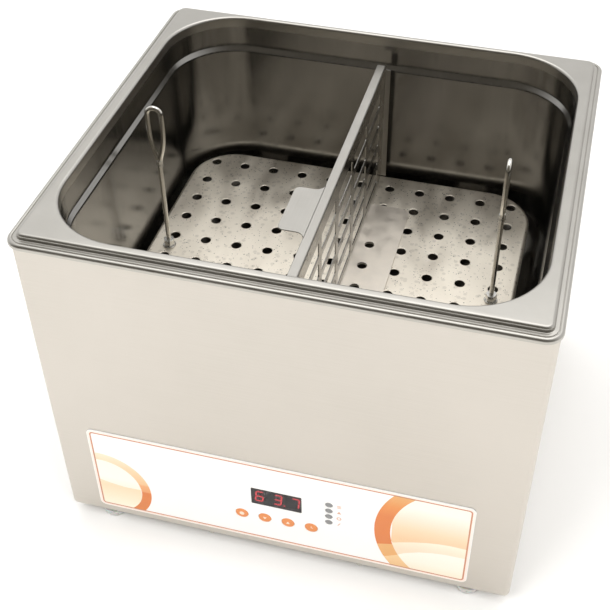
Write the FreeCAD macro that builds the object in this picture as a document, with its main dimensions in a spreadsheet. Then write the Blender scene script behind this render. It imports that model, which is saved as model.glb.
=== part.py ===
"""Unstirred digital sous vide water bath, modelled as an assembly of separate pieces.

Millimetres, +Z up. The origin is on the surface the bath stands on, under the middle of its rim.
The control panel faces -Y. Driving dimensions are in the spreadsheet "Dims".
"""
import FreeCAD, Part
import math
import os
import Sketcher
from FreeCAD import Placement, Rotation, Vector

doc = FreeCAD.newDocument("water_bath")
dims = doc.addObject("Spreadsheet::Sheet", "Dims")

DRIVING = (
    # body of the bath
    ("foot_height", 7), ("foot_radius", 10), ("foot_inset", 32), ("foot_inset_deep", 11),
    ("case_width", 351), ("case_depth", 308), ("case_radius", 4), ("sheet_gauge", 1),
    ("case_flange", 12), ("rear_panel_gap", 0.1),
    # pressed tank: deck, stepped rim and bowl
    ("deck_height", 290), ("lip_width", 354), ("lip_depth", 322), ("lip_inset", 6.5),
    ("lip_radius", 12), ("rim_step", 4), ("rim_drop", 8.1), ("rim_round", 2),
    ("mouth_width", 324), ("mouth_depth", 296.5), ("mouth_radius", 54), ("mouth_shift", 1),
    ("shoulder_depth", 25), ("shoulder_rise", 3), ("shoulder_step", 3),
    ("tank_depth", 150), ("tank_draft", 2), ("floor_round", 16),
    # perforated tray and its lifting rods
    ("tray_width", 293), ("tray_depth", 272), ("tray_corner", 38), ("tray_gauge", 1.2),
    ("tray_left", -151.5), ("tray_front", -137), ("tray_top", 164.3), ("tray_edge", 8),
    ("hole_radius", 3.9), ("pitch_across", 25.9), ("pitch_deep", 26.15),
    ("first_column", -135), ("first_row", -118.5),
    ("rod_radius", 1.5), ("rod_top", 295), ("eye_height", 45), ("eye_radius", 4.8), ("rod_row", -1),
    ("collar_radius", 2.6), ("collar_length", 6), ("collar_height", 242),
    # lift-out divider
    ("divider_right", 8.9), ("divider_gauge", 1), ("divider_front", -137), ("divider_back", 135),
    ("divider_top", 272), ("top_fold", 7), ("tab_reach", 19.6), ("tab_length", 48),
    ("tab_middle", -61.5), ("slot_long", 40.5), ("slot_tall", 12.8), ("slot_pitch_long", 48),
    ("slot_pitch_tall", 18.7), ("slot_first", -116), ("slot_low", 170),
    ("foot_plate_reach", 34.4), ("foot_plate_half", 91), ("end_fold", 4.5), ("rest_gap", 0.3),
    # front control overlay
    ("overlay_left", -149), ("overlay_right", 142.7), ("overlay_low", 19), ("overlay_high", 108.5),
    ("overlay_radius", 4.5), ("overlay_gauge", 0.8),
    ("window_left", -22.7), ("window_right", 16.2), ("window_low", 61.6), ("window_high", 80.1),
    ("key_radius", 4.9), ("key_level", 46.5), ("key_first", -30.9), ("key_pitch", 18.1),
    ("key_gap", 0.25),
    ("lamp_radius", 2.9), ("lamp_across", 36.9), ("lamp_top", 78.5), ("lamp_pitch", 6.9),
    ("board_back", -142),
    # rear connections, below the tank
    ("inlet_across", -108), ("inlet_level", 48), ("switch_across", -52), ("switch_level", 48),
)
for row, (alias, value) in enumerate(DRIVING, start=1):
    dims.set(f"A{row}", alias.replace("_", " "))
    dims.set(f"B{row}", str(value))
    dims.setAlias(f"B{row}", alias)
doc.recompute()

sub_parts = []


def number(formula):
    """The present value of a formula that reads the sheet."""
    return float(dims.evalExpression(str(formula)))


def keep(item):
    """Mark a document object as a finished sub-part; its Label names its file."""
    sub_parts.append(item)
    return item


def place(item, corner):
    """Put an item at a corner given as three formulas."""
    for axis, formula in zip("xyz", corner):
        item.setExpression("Placement.Base." + axis, str(formula))


def block(name, corner, size):
    """A box from its lowest corner and its three sizes."""
    item = doc.addObject("Part::Box", name)
    for side, formula in zip(("Length", "Width", "Height"), size):
        item.setExpression(side, str(formula))
    place(item, corner)
    return item


TURNS = {"x": Rotation(Vector(0, 1, 0), 90), "y": Rotation(Vector(1, 0, 0), -90), "z": Rotation()}


def bar(name, base, radius, length, along="z"):
    """A round bar that starts at base and runs towards +X, +Y or +Z."""
    item = doc.addObject("Part::Cylinder", name)
    item.Placement = Placement(Vector(), TURNS[along])
    item.setExpression("Radius", str(radius))
    item.setExpression("Height", str(length))
    place(item, base)
    return item


def hexagon(name, base, corner_radius, length, along="z"):
    """A hexagonal bar that starts at base."""
    item = doc.addObject("Part::Prism", name)
    item.Polygon = 6
    item.Placement = Placement(Vector(), TURNS[along])
    item.setExpression("Circumradius", str(corner_radius))
    item.setExpression("Height", str(length))
    place(item, base)
    return item


def join(name, items):
    """Touching pieces made one solid."""
    item = doc.addObject("Part::MultiFuse", name)
    item.Shapes = items
    item.Refine = True
    return item


def group(name, items):
    """Like pieces that do not touch, kept as separate solids in one sub-part."""
    item = doc.addObject("Part::Compound", name)
    item.Links = items
    return item


def cut(name, base, tools):
    """Base with every tool taken out of it."""
    item = doc.addObject("Part::Cut", name)
    item.Base = base
    item.Tool = tools[0] if len(tools) == 1 else group(name + "_cutters", tools)
    return item


def soften(name, base, radius, choose):
    """Round the edges of base that choose() picks."""
    doc.recompute()
    item = doc.addObject("Part::Fillet", name)
    item.Base = base
    size = number(radius)
    item.Edges = [(i + 1, size, size) for i, edge in enumerate(base.Shape.Edges) if choose(edge)]
    return item


def origin_item(body, role):
    return next(item for item in body.Origin.OriginFeatures if item.Role == role)


def sketch_on(body, name, role, level):
    """A sketch on one of its body's own origin planes, lifted to a level along the plane's normal."""
    sketch = body.newObject("Sketcher::SketchObject", name)
    sketch.AttachmentSupport = (origin_item(body, role), [""])
    sketch.MapMode = "FlatFace"
    sketch.setExpression("AttachmentOffset.Base.z", str(level))
    return sketch


def draw_outline(sketch, low, high, radius):
    """A rectangle from low to high with four equal corner arcs, tied to the sheet."""
    (x0, y0), (x1, y1) = [[number(formula) for formula in corner] for corner in (low, high)]
    r = number(radius)
    ends = ((x0 + r, y0, x1 - r, y0), (x1, y0 + r, x1, y1 - r), (x1 - r, y1, x0 + r, y1),
            (x0, y1 - r, x0, y0 + r))
    centres = ((x1 - r, y0 + r), (x1 - r, y1 - r), (x0 + r, y1 - r), (x0 + r, y0 + r))
    first = sketch.GeometryCount
    for ax, ay, bx, by in ends:
        sketch.addGeometry(Part.LineSegment(Vector(ax, ay, 0), Vector(bx, by, 0)), False)
    for i, (cx, cy) in enumerate(centres):
        circle = Part.Circle(Vector(cx, cy, 0), Vector(0, 0, 1), r)
        sketch.addGeometry(Part.ArcOfCircle(circle, (i - 1) * math.pi / 2, i * math.pi / 2), False)
    rules = []
    for i in range(4):
        rules.append(Sketcher.Constraint("Tangent", first + i, 2, first + 4 + i, 1))
        rules.append(Sketcher.Constraint("Tangent", first + 4 + i, 2, first + (i + 1) % 4, 1))
        rules.append(Sketcher.Constraint("Horizontal" if i % 2 == 0 else "Vertical", first + i))
    rules += [Sketcher.Constraint("Equal", first + 4, first + i) for i in (5, 6)]
    driven = (
        ("DistanceX", (-1, 1, first + 3, 1), x0, low[0]), ("DistanceY", (-1, 1, first, 1), y0, low[1]),
        ("DistanceX", (-1, 1, first + 1, 1), x1, high[0]), ("DistanceY", (-1, 1, first + 2, 1), y1,
                                                            high[1]),
        ("Radius", (first + 4,), r, radius),
    )
    start = sketch.ConstraintCount
    sketch.addConstraint(rules + [Sketcher.Constraint(kind, *where, size) for kind, where, size,
                                  _ in driven])
    for i, (_, _, _, formula) in enumerate(driven):
        sketch.setExpression(f"Constraints[{start + len(rules) + i}]", str(formula))


def pad(body, sketch, length):
    feature = body.newObject("PartDesign::Pad", sketch.Name + "_pad")
    feature.Profile = sketch
    feature.setExpression("Length", str(length))
    return feature


def pocket(body, sketch, length):
    """A cut that goes from the sketch against its normal."""
    feature = body.newObject("PartDesign::Pocket", sketch.Name + "_pocket")
    feature.Profile = sketch
    feature.setExpression("Length", str(length))
    return feature


def pattern(body, name, cuts, steps):
    """Repeat a cut along one or two origin axes: steps hold (axis role, pitch, count)."""
    grid = body.newObject("PartDesign::MultiTransform", name)
    grid.Originals = [cuts]
    runs = []
    for i, (role, pitch, count) in enumerate(steps):
        run = body.newObject("PartDesign::LinearPattern", f"{name}_run_{i}")
        run.Direction = (origin_item(body, role), [""])
        run.Occurrences = count
        run.setExpression("Length", f"{count - 1} * ({pitch})")
        runs.append(run)
    grid.Transformations = runs
    body.Tip = grid


def slot_grid(body, name, role, low, high, radius, level, length, steps):
    """One rounded slot cut from a level against the plane's normal, then repeated."""
    sketch = sketch_on(body, name + "_slot", role, level)
    draw_outline(sketch, low, high, radius)
    pattern(body, name, pocket(body, sketch, length), steps)


def plate(name, role, low, high, radius, level, length, openings=()):
    """A body with one pad: a rounded outline, with any rounded openings (low, high, radius) in it."""
    body = doc.addObject("PartDesign::Body", name)
    sketch = sketch_on(body, name + "_outline", role, level)
    draw_outline(sketch, low, high, radius)
    for opening in openings:
        draw_outline(sketch, *opening)
    pad(body, sketch, length)
    return body


def centred(width, depth, shift="0"):
    """Lowest and highest corner of a rectangle about the middle, moved by shift along the depth."""
    return ((f"-({width}) / 2", f"({shift}) - ({depth}) / 2"),
            (f"({width}) / 2", f"({shift}) + ({depth}) / 2"))


def wire_run(points, radius, bend):
    """A round wire along straight runs joined by tangent arcs."""
    corners = [Vector(*[number(formula) for formula in point]) for point in points]
    edges = []
    start = corners[0]
    for before, corner, after in zip(corners, corners[1:], corners[2:]):
        back = (before - corner).normalize()
        ahead = (after - corner).normalize()
        half = back.getAngle(ahead) / 2
        reach = bend / math.tan(half)
        first, last = corner + back * reach, corner + ahead * reach
        middle = (back + ahead).normalize()
        crown = corner + middle * (bend / math.sin(half) - bend)
        edges += [Part.LineSegment(start, first).toShape(), Part.Arc(first, crown, last).toShape()]
        start = last
    edges.append(Part.LineSegment(start, corners[-1]).toShape())
    path = Part.Wire(edges)
    ring = Part.Wire([Part.makeCircle(radius, corners[0], corners[1] - corners[0])])
    return path.makePipeShell([ring], True, False)


def wires(name, runs, radius, bend):
    """One sub-part of bent wires that do not touch."""
    item = doc.addObject("Part::Feature", name)
    item.Shape = Part.makeCompound([wire_run(run, radius, bend) for run in runs])
    return keep(item)


CASE_FRONT, CASE_BACK = "-Dims.case_depth / 2", "Dims.case_depth / 2"
GAUGE, DECK, FOOT = "Dims.sheet_gauge", "Dims.deck_height", "Dims.foot_height"
TANK_FLOOR = "(Dims.deck_height - Dims.tank_depth)"
UNDER_TANK = "(Dims.deck_height - Dims.tank_depth - Dims.sheet_gauge)"

# ---------------------------------------------------------------- tank
# One pressing: flat deck, a step down to a ledge, the outer bead, and the bowl with its shoulder.
tank = doc.addObject("PartDesign::Body", "tank_blank")
bowl_space = doc.addObject("PartDesign::Body", "bowl_space")
LIP = centred("Dims.lip_width", "Dims.lip_depth")
TOP = centred("Dims.lip_width - 2 * Dims.lip_inset", "Dims.lip_depth - 2 * Dims.lip_inset")
LIP_IN = centred("Dims.lip_width - 2 * Dims.sheet_gauge", "Dims.lip_depth - 2 * Dims.sheet_gauge")
TOP_IN = centred(*[f"Dims.lip_{side} - 2 * Dims.lip_inset - 2 * Dims.sheet_gauge"
                   for side in ("width", "depth")])
TOP_RADIUS = "Dims.lip_radius - Dims.lip_inset"


def tank_layer(name, outline, radius, level, length, cutting):
    """One level slab of the rim, added to the pressing or cut out of it."""
    sketch = sketch_on(tank, name, "XY_Plane", level)
    draw_outline(sketch, *outline, radius)
    return (pocket if cutting else pad)(tank, sketch, length)


tank_layer("rim_skirt", LIP, "Dims.lip_radius", f"{DECK} - Dims.rim_drop", "Dims.rim_drop - Dims.rim_step",
           False)
tank_layer("deck_block", TOP, TOP_RADIUS, f"{DECK} - Dims.rim_step - {GAUGE}", f"Dims.rim_step + {GAUGE}",
           False)
tank_layer("skirt_hollow", LIP_IN, f"Dims.lip_radius - {GAUGE}", f"{DECK} - Dims.rim_step - {GAUGE}",
           "Dims.rim_drop", True)
tank_layer("deck_hollow", TOP_IN, f"{TOP_RADIUS} - {GAUGE}", f"{DECK} - {GAUGE}", "Dims.rim_drop", True)


def bowl_sections(grow, top, floor):
    """Outline, corner radius and level of the bowl's sections, from the mouth to the floor."""
    narrow = "2 * Dims.shoulder_step"
    taper = "2 * Dims.tank_draft"
    rows = (
        ("0", top), ("1", f"{DECK} - Dims.shoulder_depth"),
        (f"1 + {narrow}", f"{DECK} - Dims.shoulder_depth - Dims.shoulder_rise"),
        (f"1 + {narrow} + {taper}", floor),
    )
    for less, level in rows:
        size = [f"Dims.mouth_{side} + 2 * ({grow}) - ({less})" for side in ("width", "depth")]
        yield centred(*size, "Dims.mouth_shift"), f"Dims.mouth_radius + {grow} - ({less}) / 2", level


def bowl_loft(body, grow, top, floor):
    """A solid bowl through the sections, with the edge round its floor rounded."""
    sketches = []
    for i, (outline, radius, level) in enumerate(bowl_sections(grow, top, floor)):
        sketch = sketch_on(body, f"{body.Name}_section_{i}", "XY_Plane", level)
        draw_outline(sketch, *outline, radius)
        sketches.append(sketch)
    loft = body.newObject("PartDesign::AdditiveLoft", body.Name + "_loft")
    loft.Profile = sketches[0]
    loft.Sections = sketches[1:]
    loft.Ruled = True
    doc.recompute()
    low = number(floor)
    edges = [f"Edge{i + 1}" for i, edge in enumerate(loft.Shape.Edges)
             if abs(edge.BoundBox.ZMax - low) < 0.01]
    rounding = body.newObject("PartDesign::Fillet", body.Name + "_floor_round")
    rounding.Base = (loft, edges)
    rounding.setExpression("Radius", f"Dims.floor_round + {grow}")


def on_deck(edge):
    """True for the edges round the mouth and round the deck's outside."""
    box = edge.BoundBox
    return abs(box.ZMin - number(DECK)) < 0.01 and abs(box.ZMax - number(DECK)) < 0.01


bowl_loft(tank, GAUGE, f"{DECK} - {GAUGE} / 2", UNDER_TANK)
bowl_loft(bowl_space, "0", f"{DECK}", TANK_FLOOR)
keep(soften("tank", cut("tank_sharp", tank, [bowl_space]), "Dims.rim_round", on_deck))

# ---------------------------------------------------------------- seal under the rim
SEAL_TOP = f"{DECK} - Dims.rim_step - {GAUGE}"
keep(plate("rim_seal", "XY_Plane", *centred("Dims.case_width", "Dims.case_depth"), "Dims.case_radius",
           f"{SEAL_TOP} - 2", "2",
           [centred("Dims.case_width - 5", "Dims.case_depth - 5") + ("2",)]))

# ---------------------------------------------------------------- outer case
# Folded stainless wrap: front and both sides, with return flanges at the rear and along the bottom.
CASE_TALL = f"({SEAL_TOP} - 2 - {FOOT})"
case_solid = plate("case_solid", "XY_Plane", *centred("Dims.case_width", "Dims.case_depth"),
                   "Dims.case_radius", FOOT, CASE_TALL)
case_hollow = plate("case_hollow", "XY_Plane",
                    *centred(f"Dims.case_width - 2 * {GAUGE}", f"Dims.case_depth - 2 * {GAUGE}"),
                    f"Dims.case_radius - {GAUGE}", f"{FOOT} + {GAUGE}", CASE_TALL)
bottom_hole = plate("case_bottom_hole", "XY_Plane",
                    *centred("Dims.case_width - 2 * Dims.case_flange",
                             "Dims.case_depth - 2 * Dims.case_flange"),
                    "2", f"{FOOT} - 1", "3")
rear_hole = block("case_rear_hole",
                  ("-Dims.case_width / 2 + Dims.case_flange", f"{CASE_BACK} - 5",
                   f"{FOOT} + Dims.case_flange"),
                  ("Dims.case_width - 2 * Dims.case_flange", "10", CASE_TALL))
rear_step = block("case_rear_step",
                  ("-Dims.case_width / 2 - 1", f"{CASE_BACK} - {GAUGE} - Dims.rear_panel_gap",
                   f"{FOOT} - 1"),
                  ("Dims.case_width + 2", "10", f"{CASE_TALL} + 5"))
key_holes = [bar(f"case_key_hole_{i}", (f"Dims.key_first + {i} * Dims.key_pitch", f"{CASE_FRONT} - 1",
                                        "Dims.key_level"),
                 "Dims.key_radius + 0.6", "5", "y") for i in range(4)]
lamp_holes = [bar(f"case_lamp_hole_{i}", ("Dims.lamp_across", f"{CASE_FRONT} - 1",
                                          f"Dims.lamp_top - {i} * Dims.lamp_pitch"),
                  "Dims.lamp_radius - 0.6", "5", "y") for i in range(4)]
window_hole = block("case_window_hole", ("Dims.window_left + 1", f"{CASE_FRONT} - 1",
                                         "Dims.window_low + 1"),
                    ("Dims.window_right - Dims.window_left - 2", "5",
                     "Dims.window_high - Dims.window_low - 2"))
case_back_flange = join("case_back_flange", [
    block(f"case_back_flange_{side}",
          (f"{sign} * Dims.case_width / 2 {shift}", f"{CASE_BACK} - 2 * {GAUGE} - Dims.rear_panel_gap",
           FOOT),
          ("Dims.case_flange", GAUGE, CASE_TALL))
    for side, sign, shift in (("left", "-1", "+ 0.5"), ("right", "1", "- 0.5 - Dims.case_flange"))])
case_walls = cut("case_walls", case_solid, [case_hollow, bottom_hole, rear_hole, rear_step, window_hole]
                 + key_holes + lamp_holes)
keep(join("outer_case", [case_walls, case_back_flange]))

# ---------------------------------------------------------------- rear panel
# Flat stainless sheet with cut-outs for the inlet and the switch, and two rows of vent slots.
OUTSIDE = f"-({CASE_BACK})"
rear_panel = plate("rear_panel", "XZ_Plane", ("-Dims.case_width / 2 + 1", f"{FOOT} + 1"),
                   ("Dims.case_width / 2 - 1", f"{FOOT} + {CASE_TALL} - 2"), "3", OUTSIDE, GAUGE,
                   [(("Dims.inlet_across - 14.2", "Dims.inlet_level - 15.2"),
                     ("Dims.inlet_across + 14.2", "Dims.inlet_level + 15.2"), "0.5"),
                    (("Dims.switch_across - 11.2", "Dims.switch_level - 14.2"),
                     ("Dims.switch_across + 11.2", "Dims.switch_level + 14.2"), "0.5")])
slot_grid(rear_panel, "rear_vents", "XZ_Plane", ("20", "30"), ("24", "60"), "1.9", f"{OUTSIDE} + 3", "6",
          (("X_Axis", "10", 12), ("Z_Axis", "42", 2)))
keep(rear_panel)

REAR_SCREW_LEVELS = ("20", "100", "190", "268")
rear_screws = []
for side in (-1, 1):
    for i, level in enumerate(REAR_SCREW_LEVELS):
        across = f"{side} * (Dims.case_width / 2 - 6.5)"
        head = bar(f"rear_screw_head_{side + 1}_{i}", (across, f"{CASE_BACK} + 0.05", level), "3.2", "1.8",
                   "y")
        rear_screws.append(head)
keep(group("rear_screws", rear_screws))

# ---------------------------------------------------------------- base plate and feet
base_plate = plate("base_plate", "XY_Plane", *centred("Dims.case_width - 2.6", "Dims.case_depth - 6"), "3",
                   f"{FOOT} + {GAUGE} + 0.1", "1.2")
slot_grid(base_plate, "base_vents", "XY_Plane", ("-112", "88"), ("-107", "128"), "2.4", f"{FOOT} + 6", "8",
          (("X_Axis", "16", 15),))
keep(base_plate)

corners = [(sx, sy) for sx in (-1, 1) for sy in (-1, 1)]


def corner_place(sx, sy):
    """Where the foot at one corner stands."""
    return (f"{sx} * (Dims.case_width / 2 - Dims.foot_inset)",
            f"{sy} * (Dims.case_depth / 2 - Dims.foot_inset_deep)")


feet = []
for i, (sx, sy) in enumerate(corners):
    x, y = corner_place(sx, sy)
    rubber = bar(f"foot_rubber_{i}", (x, y, "0"), "Dims.foot_radius", f"{FOOT} - 0.1")
    recess = bar(f"foot_recess_{i}", (x, y, "-0.5"), "3.4", "4")
    feet.append(cut(f"foot_{i}", rubber, [recess]))
keep(group("rubber_feet", feet))
keep(group("foot_screws", [bar(f"foot_screw_{i}", (*corner_place(sx, sy), "1"), "2.9", "2.4")
                           for i, (sx, sy) in enumerate(corners)]))
base_screws = [bar(f"base_screw_{i}", (f"{sx} * 60", f"{sy} * (Dims.case_depth / 2 - 6)", f"{FOOT} - 1.9"),
                   "3", "1.8")
               for i, (sx, sy) in enumerate(corners)]
keep(group("base_screws", base_screws))

# ---------------------------------------------------------------- tank brackets and insulation
# Four folded brackets hang the tank's deck from the case sides: a leg, a web and an upright each.
BRACKET_X = f"(Dims.case_width / 2 - {GAUGE} - 0.1)"
brackets, bracket_screws = [], []
for i, (sx, sy) in enumerate(corners):
    strips = []
    for strip, reach, wide, low, tall in (("leg", "1", "1", "26", "12"), ("web", "9.4", "9.4", "15", "1"),
                                          ("upright", "9.4", "1", "15", "13.8")):
        x_low = f"{BRACKET_X} - {reach}" if sx > 0 else f"-{BRACKET_X} + {reach} - {wide}"
        strips.append(block(f"bracket_{strip}_{i}", (x_low, f"{sy} * 75 - 10", f"{DECK} - {low}"),
                            (wide, "20", tall)))
    brackets.append(join(f"bracket_{i}", strips))
    screw_low = f"{BRACKET_X} - 3.1" if sx > 0 else f"-{BRACKET_X} + 1.1"
    bracket_screws.append(bar(f"bracket_screw_{i}", (screw_low, f"{sy} * 75", f"{DECK} - 20.5"), "3", "2",
                              "x"))
keep(group("tank_brackets", brackets))
keep(group("bracket_screws", bracket_screws))

WRAP_IN = [f"Dims.mouth_{side} - 2 * Dims.shoulder_step + 2 * {GAUGE} + 1" for side in ("width", "depth")]
WRAP_OUT = [f"{side} + 10" for side in WRAP_IN]
keep(plate("insulation_wrap", "XY_Plane", *centred(*WRAP_OUT, "Dims.mouth_shift"), "Dims.mouth_radius + 3",
           f"{TANK_FLOOR} + 8", "Dims.tank_depth - Dims.shoulder_depth - Dims.shoulder_rise - 10",
           [centred(*WRAP_IN, "Dims.mouth_shift") + ("Dims.mouth_radius - 2",)]))

# ---------------------------------------------------------------- heating, under the tank floor
keep(plate("heater_mat", "XY_Plane", ("-115", "-80"), ("115", "110"), "12", f"{UNDER_TANK} - 2.2", "2"))
keep(plate("heater_plate", "XY_Plane", ("-120", "-85"), ("120", "115"), "10", f"{UNDER_TANK} - 3.6", "1.2"))
keep(plate("base_insulation", "XY_Plane", ("-120", "-85"), ("120", "115"), "10", f"{UNDER_TANK} - 15.8",
           "12"))
keep(bar("temperature_probe", ("-40", "-100", f"{UNDER_TANK} - 2.7"), "2.5", "55", "x"))
clip_strap = block("clip_strap", ("-20", "-104", f"{UNDER_TANK} - 6.5"), ("12", "8", "6.3"))
clip_bore = bar("clip_bore", ("-30", "-100", f"{UNDER_TANK} - 2.7"), "2.55", "40", "x")
clip_mouth = block("clip_mouth", ("-30", "-102.55", f"{UNDER_TANK} - 2.7"), ("40", "5.1", "5"))
keep(cut("probe_clip", clip_strap, [clip_bore, clip_mouth]))
cutout_can = bar("cutout_can", ("70", "-102", f"{UNDER_TANK} - 11"), "8", "10.8")
cutout_blades = [block(f"cutout_blade_{i}", (str(65 + 8 * i), "-103", f"{UNDER_TANK} - 18"),
                       ("1", "4", "8"))
                 for i in range(2)]
keep(join("overheat_cutout", [cutout_can] + cutout_blades))

# ---------------------------------------------------------------- front control overlay
# Printed film on the case front, pierced for the window, the keys and the lamps.
OVERLAY_BACK = f"-({CASE_FRONT})"
film = plate("overlay_film", "XZ_Plane", ("Dims.overlay_left", "Dims.overlay_low"),
             ("Dims.overlay_right", "Dims.overlay_high"), "Dims.overlay_radius", f"{OVERLAY_BACK} + 0.05",
             "Dims.overlay_gauge",
             [(("Dims.window_left", "Dims.window_low"), ("Dims.window_right", "Dims.window_high"), "1")])
film_holes = [bar(f"film_key_hole_{i}", (f"Dims.key_first + {i} * Dims.key_pitch", f"{CASE_FRONT} - 3",
                                         "Dims.key_level"),
                  "Dims.key_radius + Dims.key_gap", "5", "y") for i in range(4)]
film_holes += [bar(f"film_lamp_hole_{i}", ("Dims.lamp_across", f"{CASE_FRONT} - 3",
                                           f"Dims.lamp_top - {i} * Dims.lamp_pitch"),
                   "Dims.lamp_radius + 0.05", "5", "y") for i in range(4)]
keep(cut("control_overlay", film, film_holes))
keep(plate("display_window", "XZ_Plane", ("Dims.window_left + 0.1", "Dims.window_low + 0.1"),
           ("Dims.window_right - 0.1", "Dims.window_high - 0.1"), "0.9", f"{OVERLAY_BACK} + 0.05",
           "Dims.overlay_gauge - 0.05"))
keep(group("indicator_lenses", [
    bar(f"indicator_{i}", ("Dims.lamp_across", f"{CASE_FRONT} - Dims.overlay_gauge - 0.1",
                           f"Dims.lamp_top - {i} * Dims.lamp_pitch"),
        "Dims.lamp_radius", "Dims.overlay_gauge", "y") for i in range(4)]))

KEY_NAMES = ("set_key", "down_key", "up_key", "timer_key")
for i, name in enumerate(KEY_NAMES):
    across = f"Dims.key_first + {i} * Dims.key_pitch"
    face = bar(name + "_face", (across, f"{CASE_FRONT} - Dims.overlay_gauge - 0.35", "Dims.key_level"),
               "Dims.key_radius", "1", "y")
    stem = bar(name + "_stem", (across, f"{CASE_FRONT} - 0.2", "Dims.key_level"), "2", "6", "y")
    keep(join(name, [face, stem]))

# ---------------------------------------------------------------- control board, behind the front
BOARD_BACK = "Dims.board_back"
board_holes = [(sx, sz) for sx in (-54, 54) for sz in (34, 90)]
board_sheet = plate("board_sheet", "XZ_Plane", ("-60", "28"), ("60", "96"), "2", f"-{BOARD_BACK}", "1.6")
keep(cut("control_board", board_sheet, [
    bar(f"board_hole_{i}", (str(x), f"{BOARD_BACK} - 5", str(z)), "1.8", "10", "y")
    for i, (x, z) in enumerate(board_holes)]))
keep(block("display_module", ("Dims.window_left + 1.4", f"{CASE_FRONT} + 1.3", "Dims.window_low + 1.4"),
           ("Dims.window_right - Dims.window_left - 2.8", f"{BOARD_BACK} - 1.6 - ({CASE_FRONT}) - 1.4",
            "Dims.window_high - Dims.window_low - 2.8")))
switches = []
for i in range(4):
    across = f"Dims.key_first + {i} * Dims.key_pitch"
    can = block(f"switch_can_{i}", (f"{across} - 3", f"{BOARD_BACK} - 1.7 - 3.2", "Dims.key_level - 3"),
                ("6", "3.2", "6"))
    switches.append(can)
keep(group("key_switches", switches))
keep(group("board_standoffs", [
    bar(f"board_standoff_{i}", (str(x), f"{CASE_FRONT} + {GAUGE} + 0.1", str(z)), "3",
        f"{BOARD_BACK} - 1.8 - ({CASE_FRONT}) - {GAUGE}", "y")
    for i, (x, z) in enumerate(board_holes)]))
keep(group("board_nuts", [hexagon(f"board_nut_{i}", (str(x), f"{BOARD_BACK} + 0.1", str(z)), "3.2", "2.4",
                                  "y")
                          for i, (x, z) in enumerate(board_holes)]))
keep(block("controller_chip", ("-9", f"{BOARD_BACK} + 0.1", "52"), ("18", "2.2", "18")))

# ---------------------------------------------------------------- power side, on the base plate
PLATE_TOP = f"({FOOT} + {GAUGE} + 1.4)"
power_holes = [(x, y) for x in (-78, 14) for y in (-74, 4)]
power_sheet = plate("power_sheet", "XY_Plane", ("-84", "-80"), ("20", "10"), "2", f"{PLATE_TOP} + 10",
                    "1.6")
keep(cut("power_board", power_sheet, [
    bar(f"power_hole_{i}", (str(x), str(y), FOOT), "1.8", "30") for i, (x, y) in enumerate(power_holes)]))
keep(group("power_standoffs", [hexagon(f"power_standoff_{i}", (str(x), str(y), PLATE_TOP), "3.4", "9.9")
                               for i, (x, y) in enumerate(power_holes)]))
core = block("transformer_core", ("-70", "-62", f"{PLATE_TOP} + 11.7"), ("42", "35", "30"))
bobbin = block("transformer_bobbin", ("-63", "-67", f"{PLATE_TOP} + 15"), ("28", "45", "24"))
keep(join("power_transformer", [core, bobbin]))
terminal = block("terminal_body", ("-14", "-70", f"{PLATE_TOP} + 11.7"), ("28", "10", "12"))
keep(cut("terminal_block", terminal, [
    bar(f"terminal_bore_{i}", (str(-9 + 9 * i), "-75", f"{PLATE_TOP} + 16"), "2", "8", "y")
                                      for i in range(3)]))
fins = [block(f"fin_{i}", (str(60 + 8 * i), "-60", f"{PLATE_TOP} + 6"), ("2", "90", "26"))
        for i in range(8)]
sink_base = block("sink_base", ("60", "-60", PLATE_TOP), ("58", "90", "6.1"))
keep(join("heat_sink", [sink_base] + fins))
relay_body = block("relay_body", ("66", "44", PLATE_TOP), ("45", "58", "23"))
relay_posts = [bar(f"relay_post_{i}", (str(75 + 27 * (i % 2)), str(52 + 42 * (i // 2)),
                                       f"{PLATE_TOP} + 22"), "3", "3")
               for i in range(4)]
keep(join("solid_state_relay", [relay_body] + relay_posts))
stud = bar("earth_bolt", ("-150", "60", f"{PLATE_TOP} + 0.1"), "2.5", "16")
washer = bar("earth_washer", ("-150", "60", f"{PLATE_TOP} + 0.1"), "6", "1.2")
nut = hexagon("earth_nut", ("-150", "60", f"{PLATE_TOP} + 1.2"), "4.6", "4")
keep(join("earth_stud", [stud, washer, nut]))

# ---------------------------------------------------------------- mains inlet with fuse drawer
IN_X, IN_Z = "Dims.inlet_across", "Dims.inlet_level"
inlet_flange = plate("inlet_flange", "XZ_Plane", (f"{IN_X} - 25", f"{IN_Z} - 17"),
                     (f"{IN_X} + 25", f"{IN_Z} + 17"),
                     "3", f"-({CASE_BACK}) - 2.6", "2.5")
inlet_box = block("inlet_box", (f"{IN_X} - 14", f"{CASE_BACK} - 26", f"{IN_Z} - 15"), ("28", "27", "30"))
socket = plate("inlet_socket_cut", "XZ_Plane", (f"{IN_X} - 12.2", f"{IN_Z} - 2.6"),
               (f"{IN_X} + 12.2", f"{IN_Z} + 13.8"),
               "3", f"-({CASE_BACK}) - 4", "20")
drawer_slot = block("drawer_slot", (f"{IN_X} - 11", f"{CASE_BACK} - 20", f"{IN_Z} - 12.5"),
                    ("22", "30", "8"))
ear_holes = [bar(f"inlet_ear_hole_{i}", (f"{IN_X} + {side} * 20", f"{CASE_BACK} - 1", IN_Z), "1.7", "6",
                 "y")
             for i, side in enumerate((-1, 1))]
keep(cut("mains_inlet", join("inlet_shell", [inlet_flange, inlet_box]), [socket, drawer_slot] + ear_holes))
PIN_BACK = f"{CASE_BACK} - 15.9"
pins = [block(f"inlet_pin_{i}", (f"{IN_X} {dx} - 1", PIN_BACK, f"{IN_Z} + 5.6 {dz} - 2"), ("2", "14", "4"))
        for i, (dx, dz) in enumerate((("- 7", "- 2"), ("+ 0", "+ 2"), ("+ 7", "- 2")))]
keep(group("inlet_pins", pins))
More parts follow.
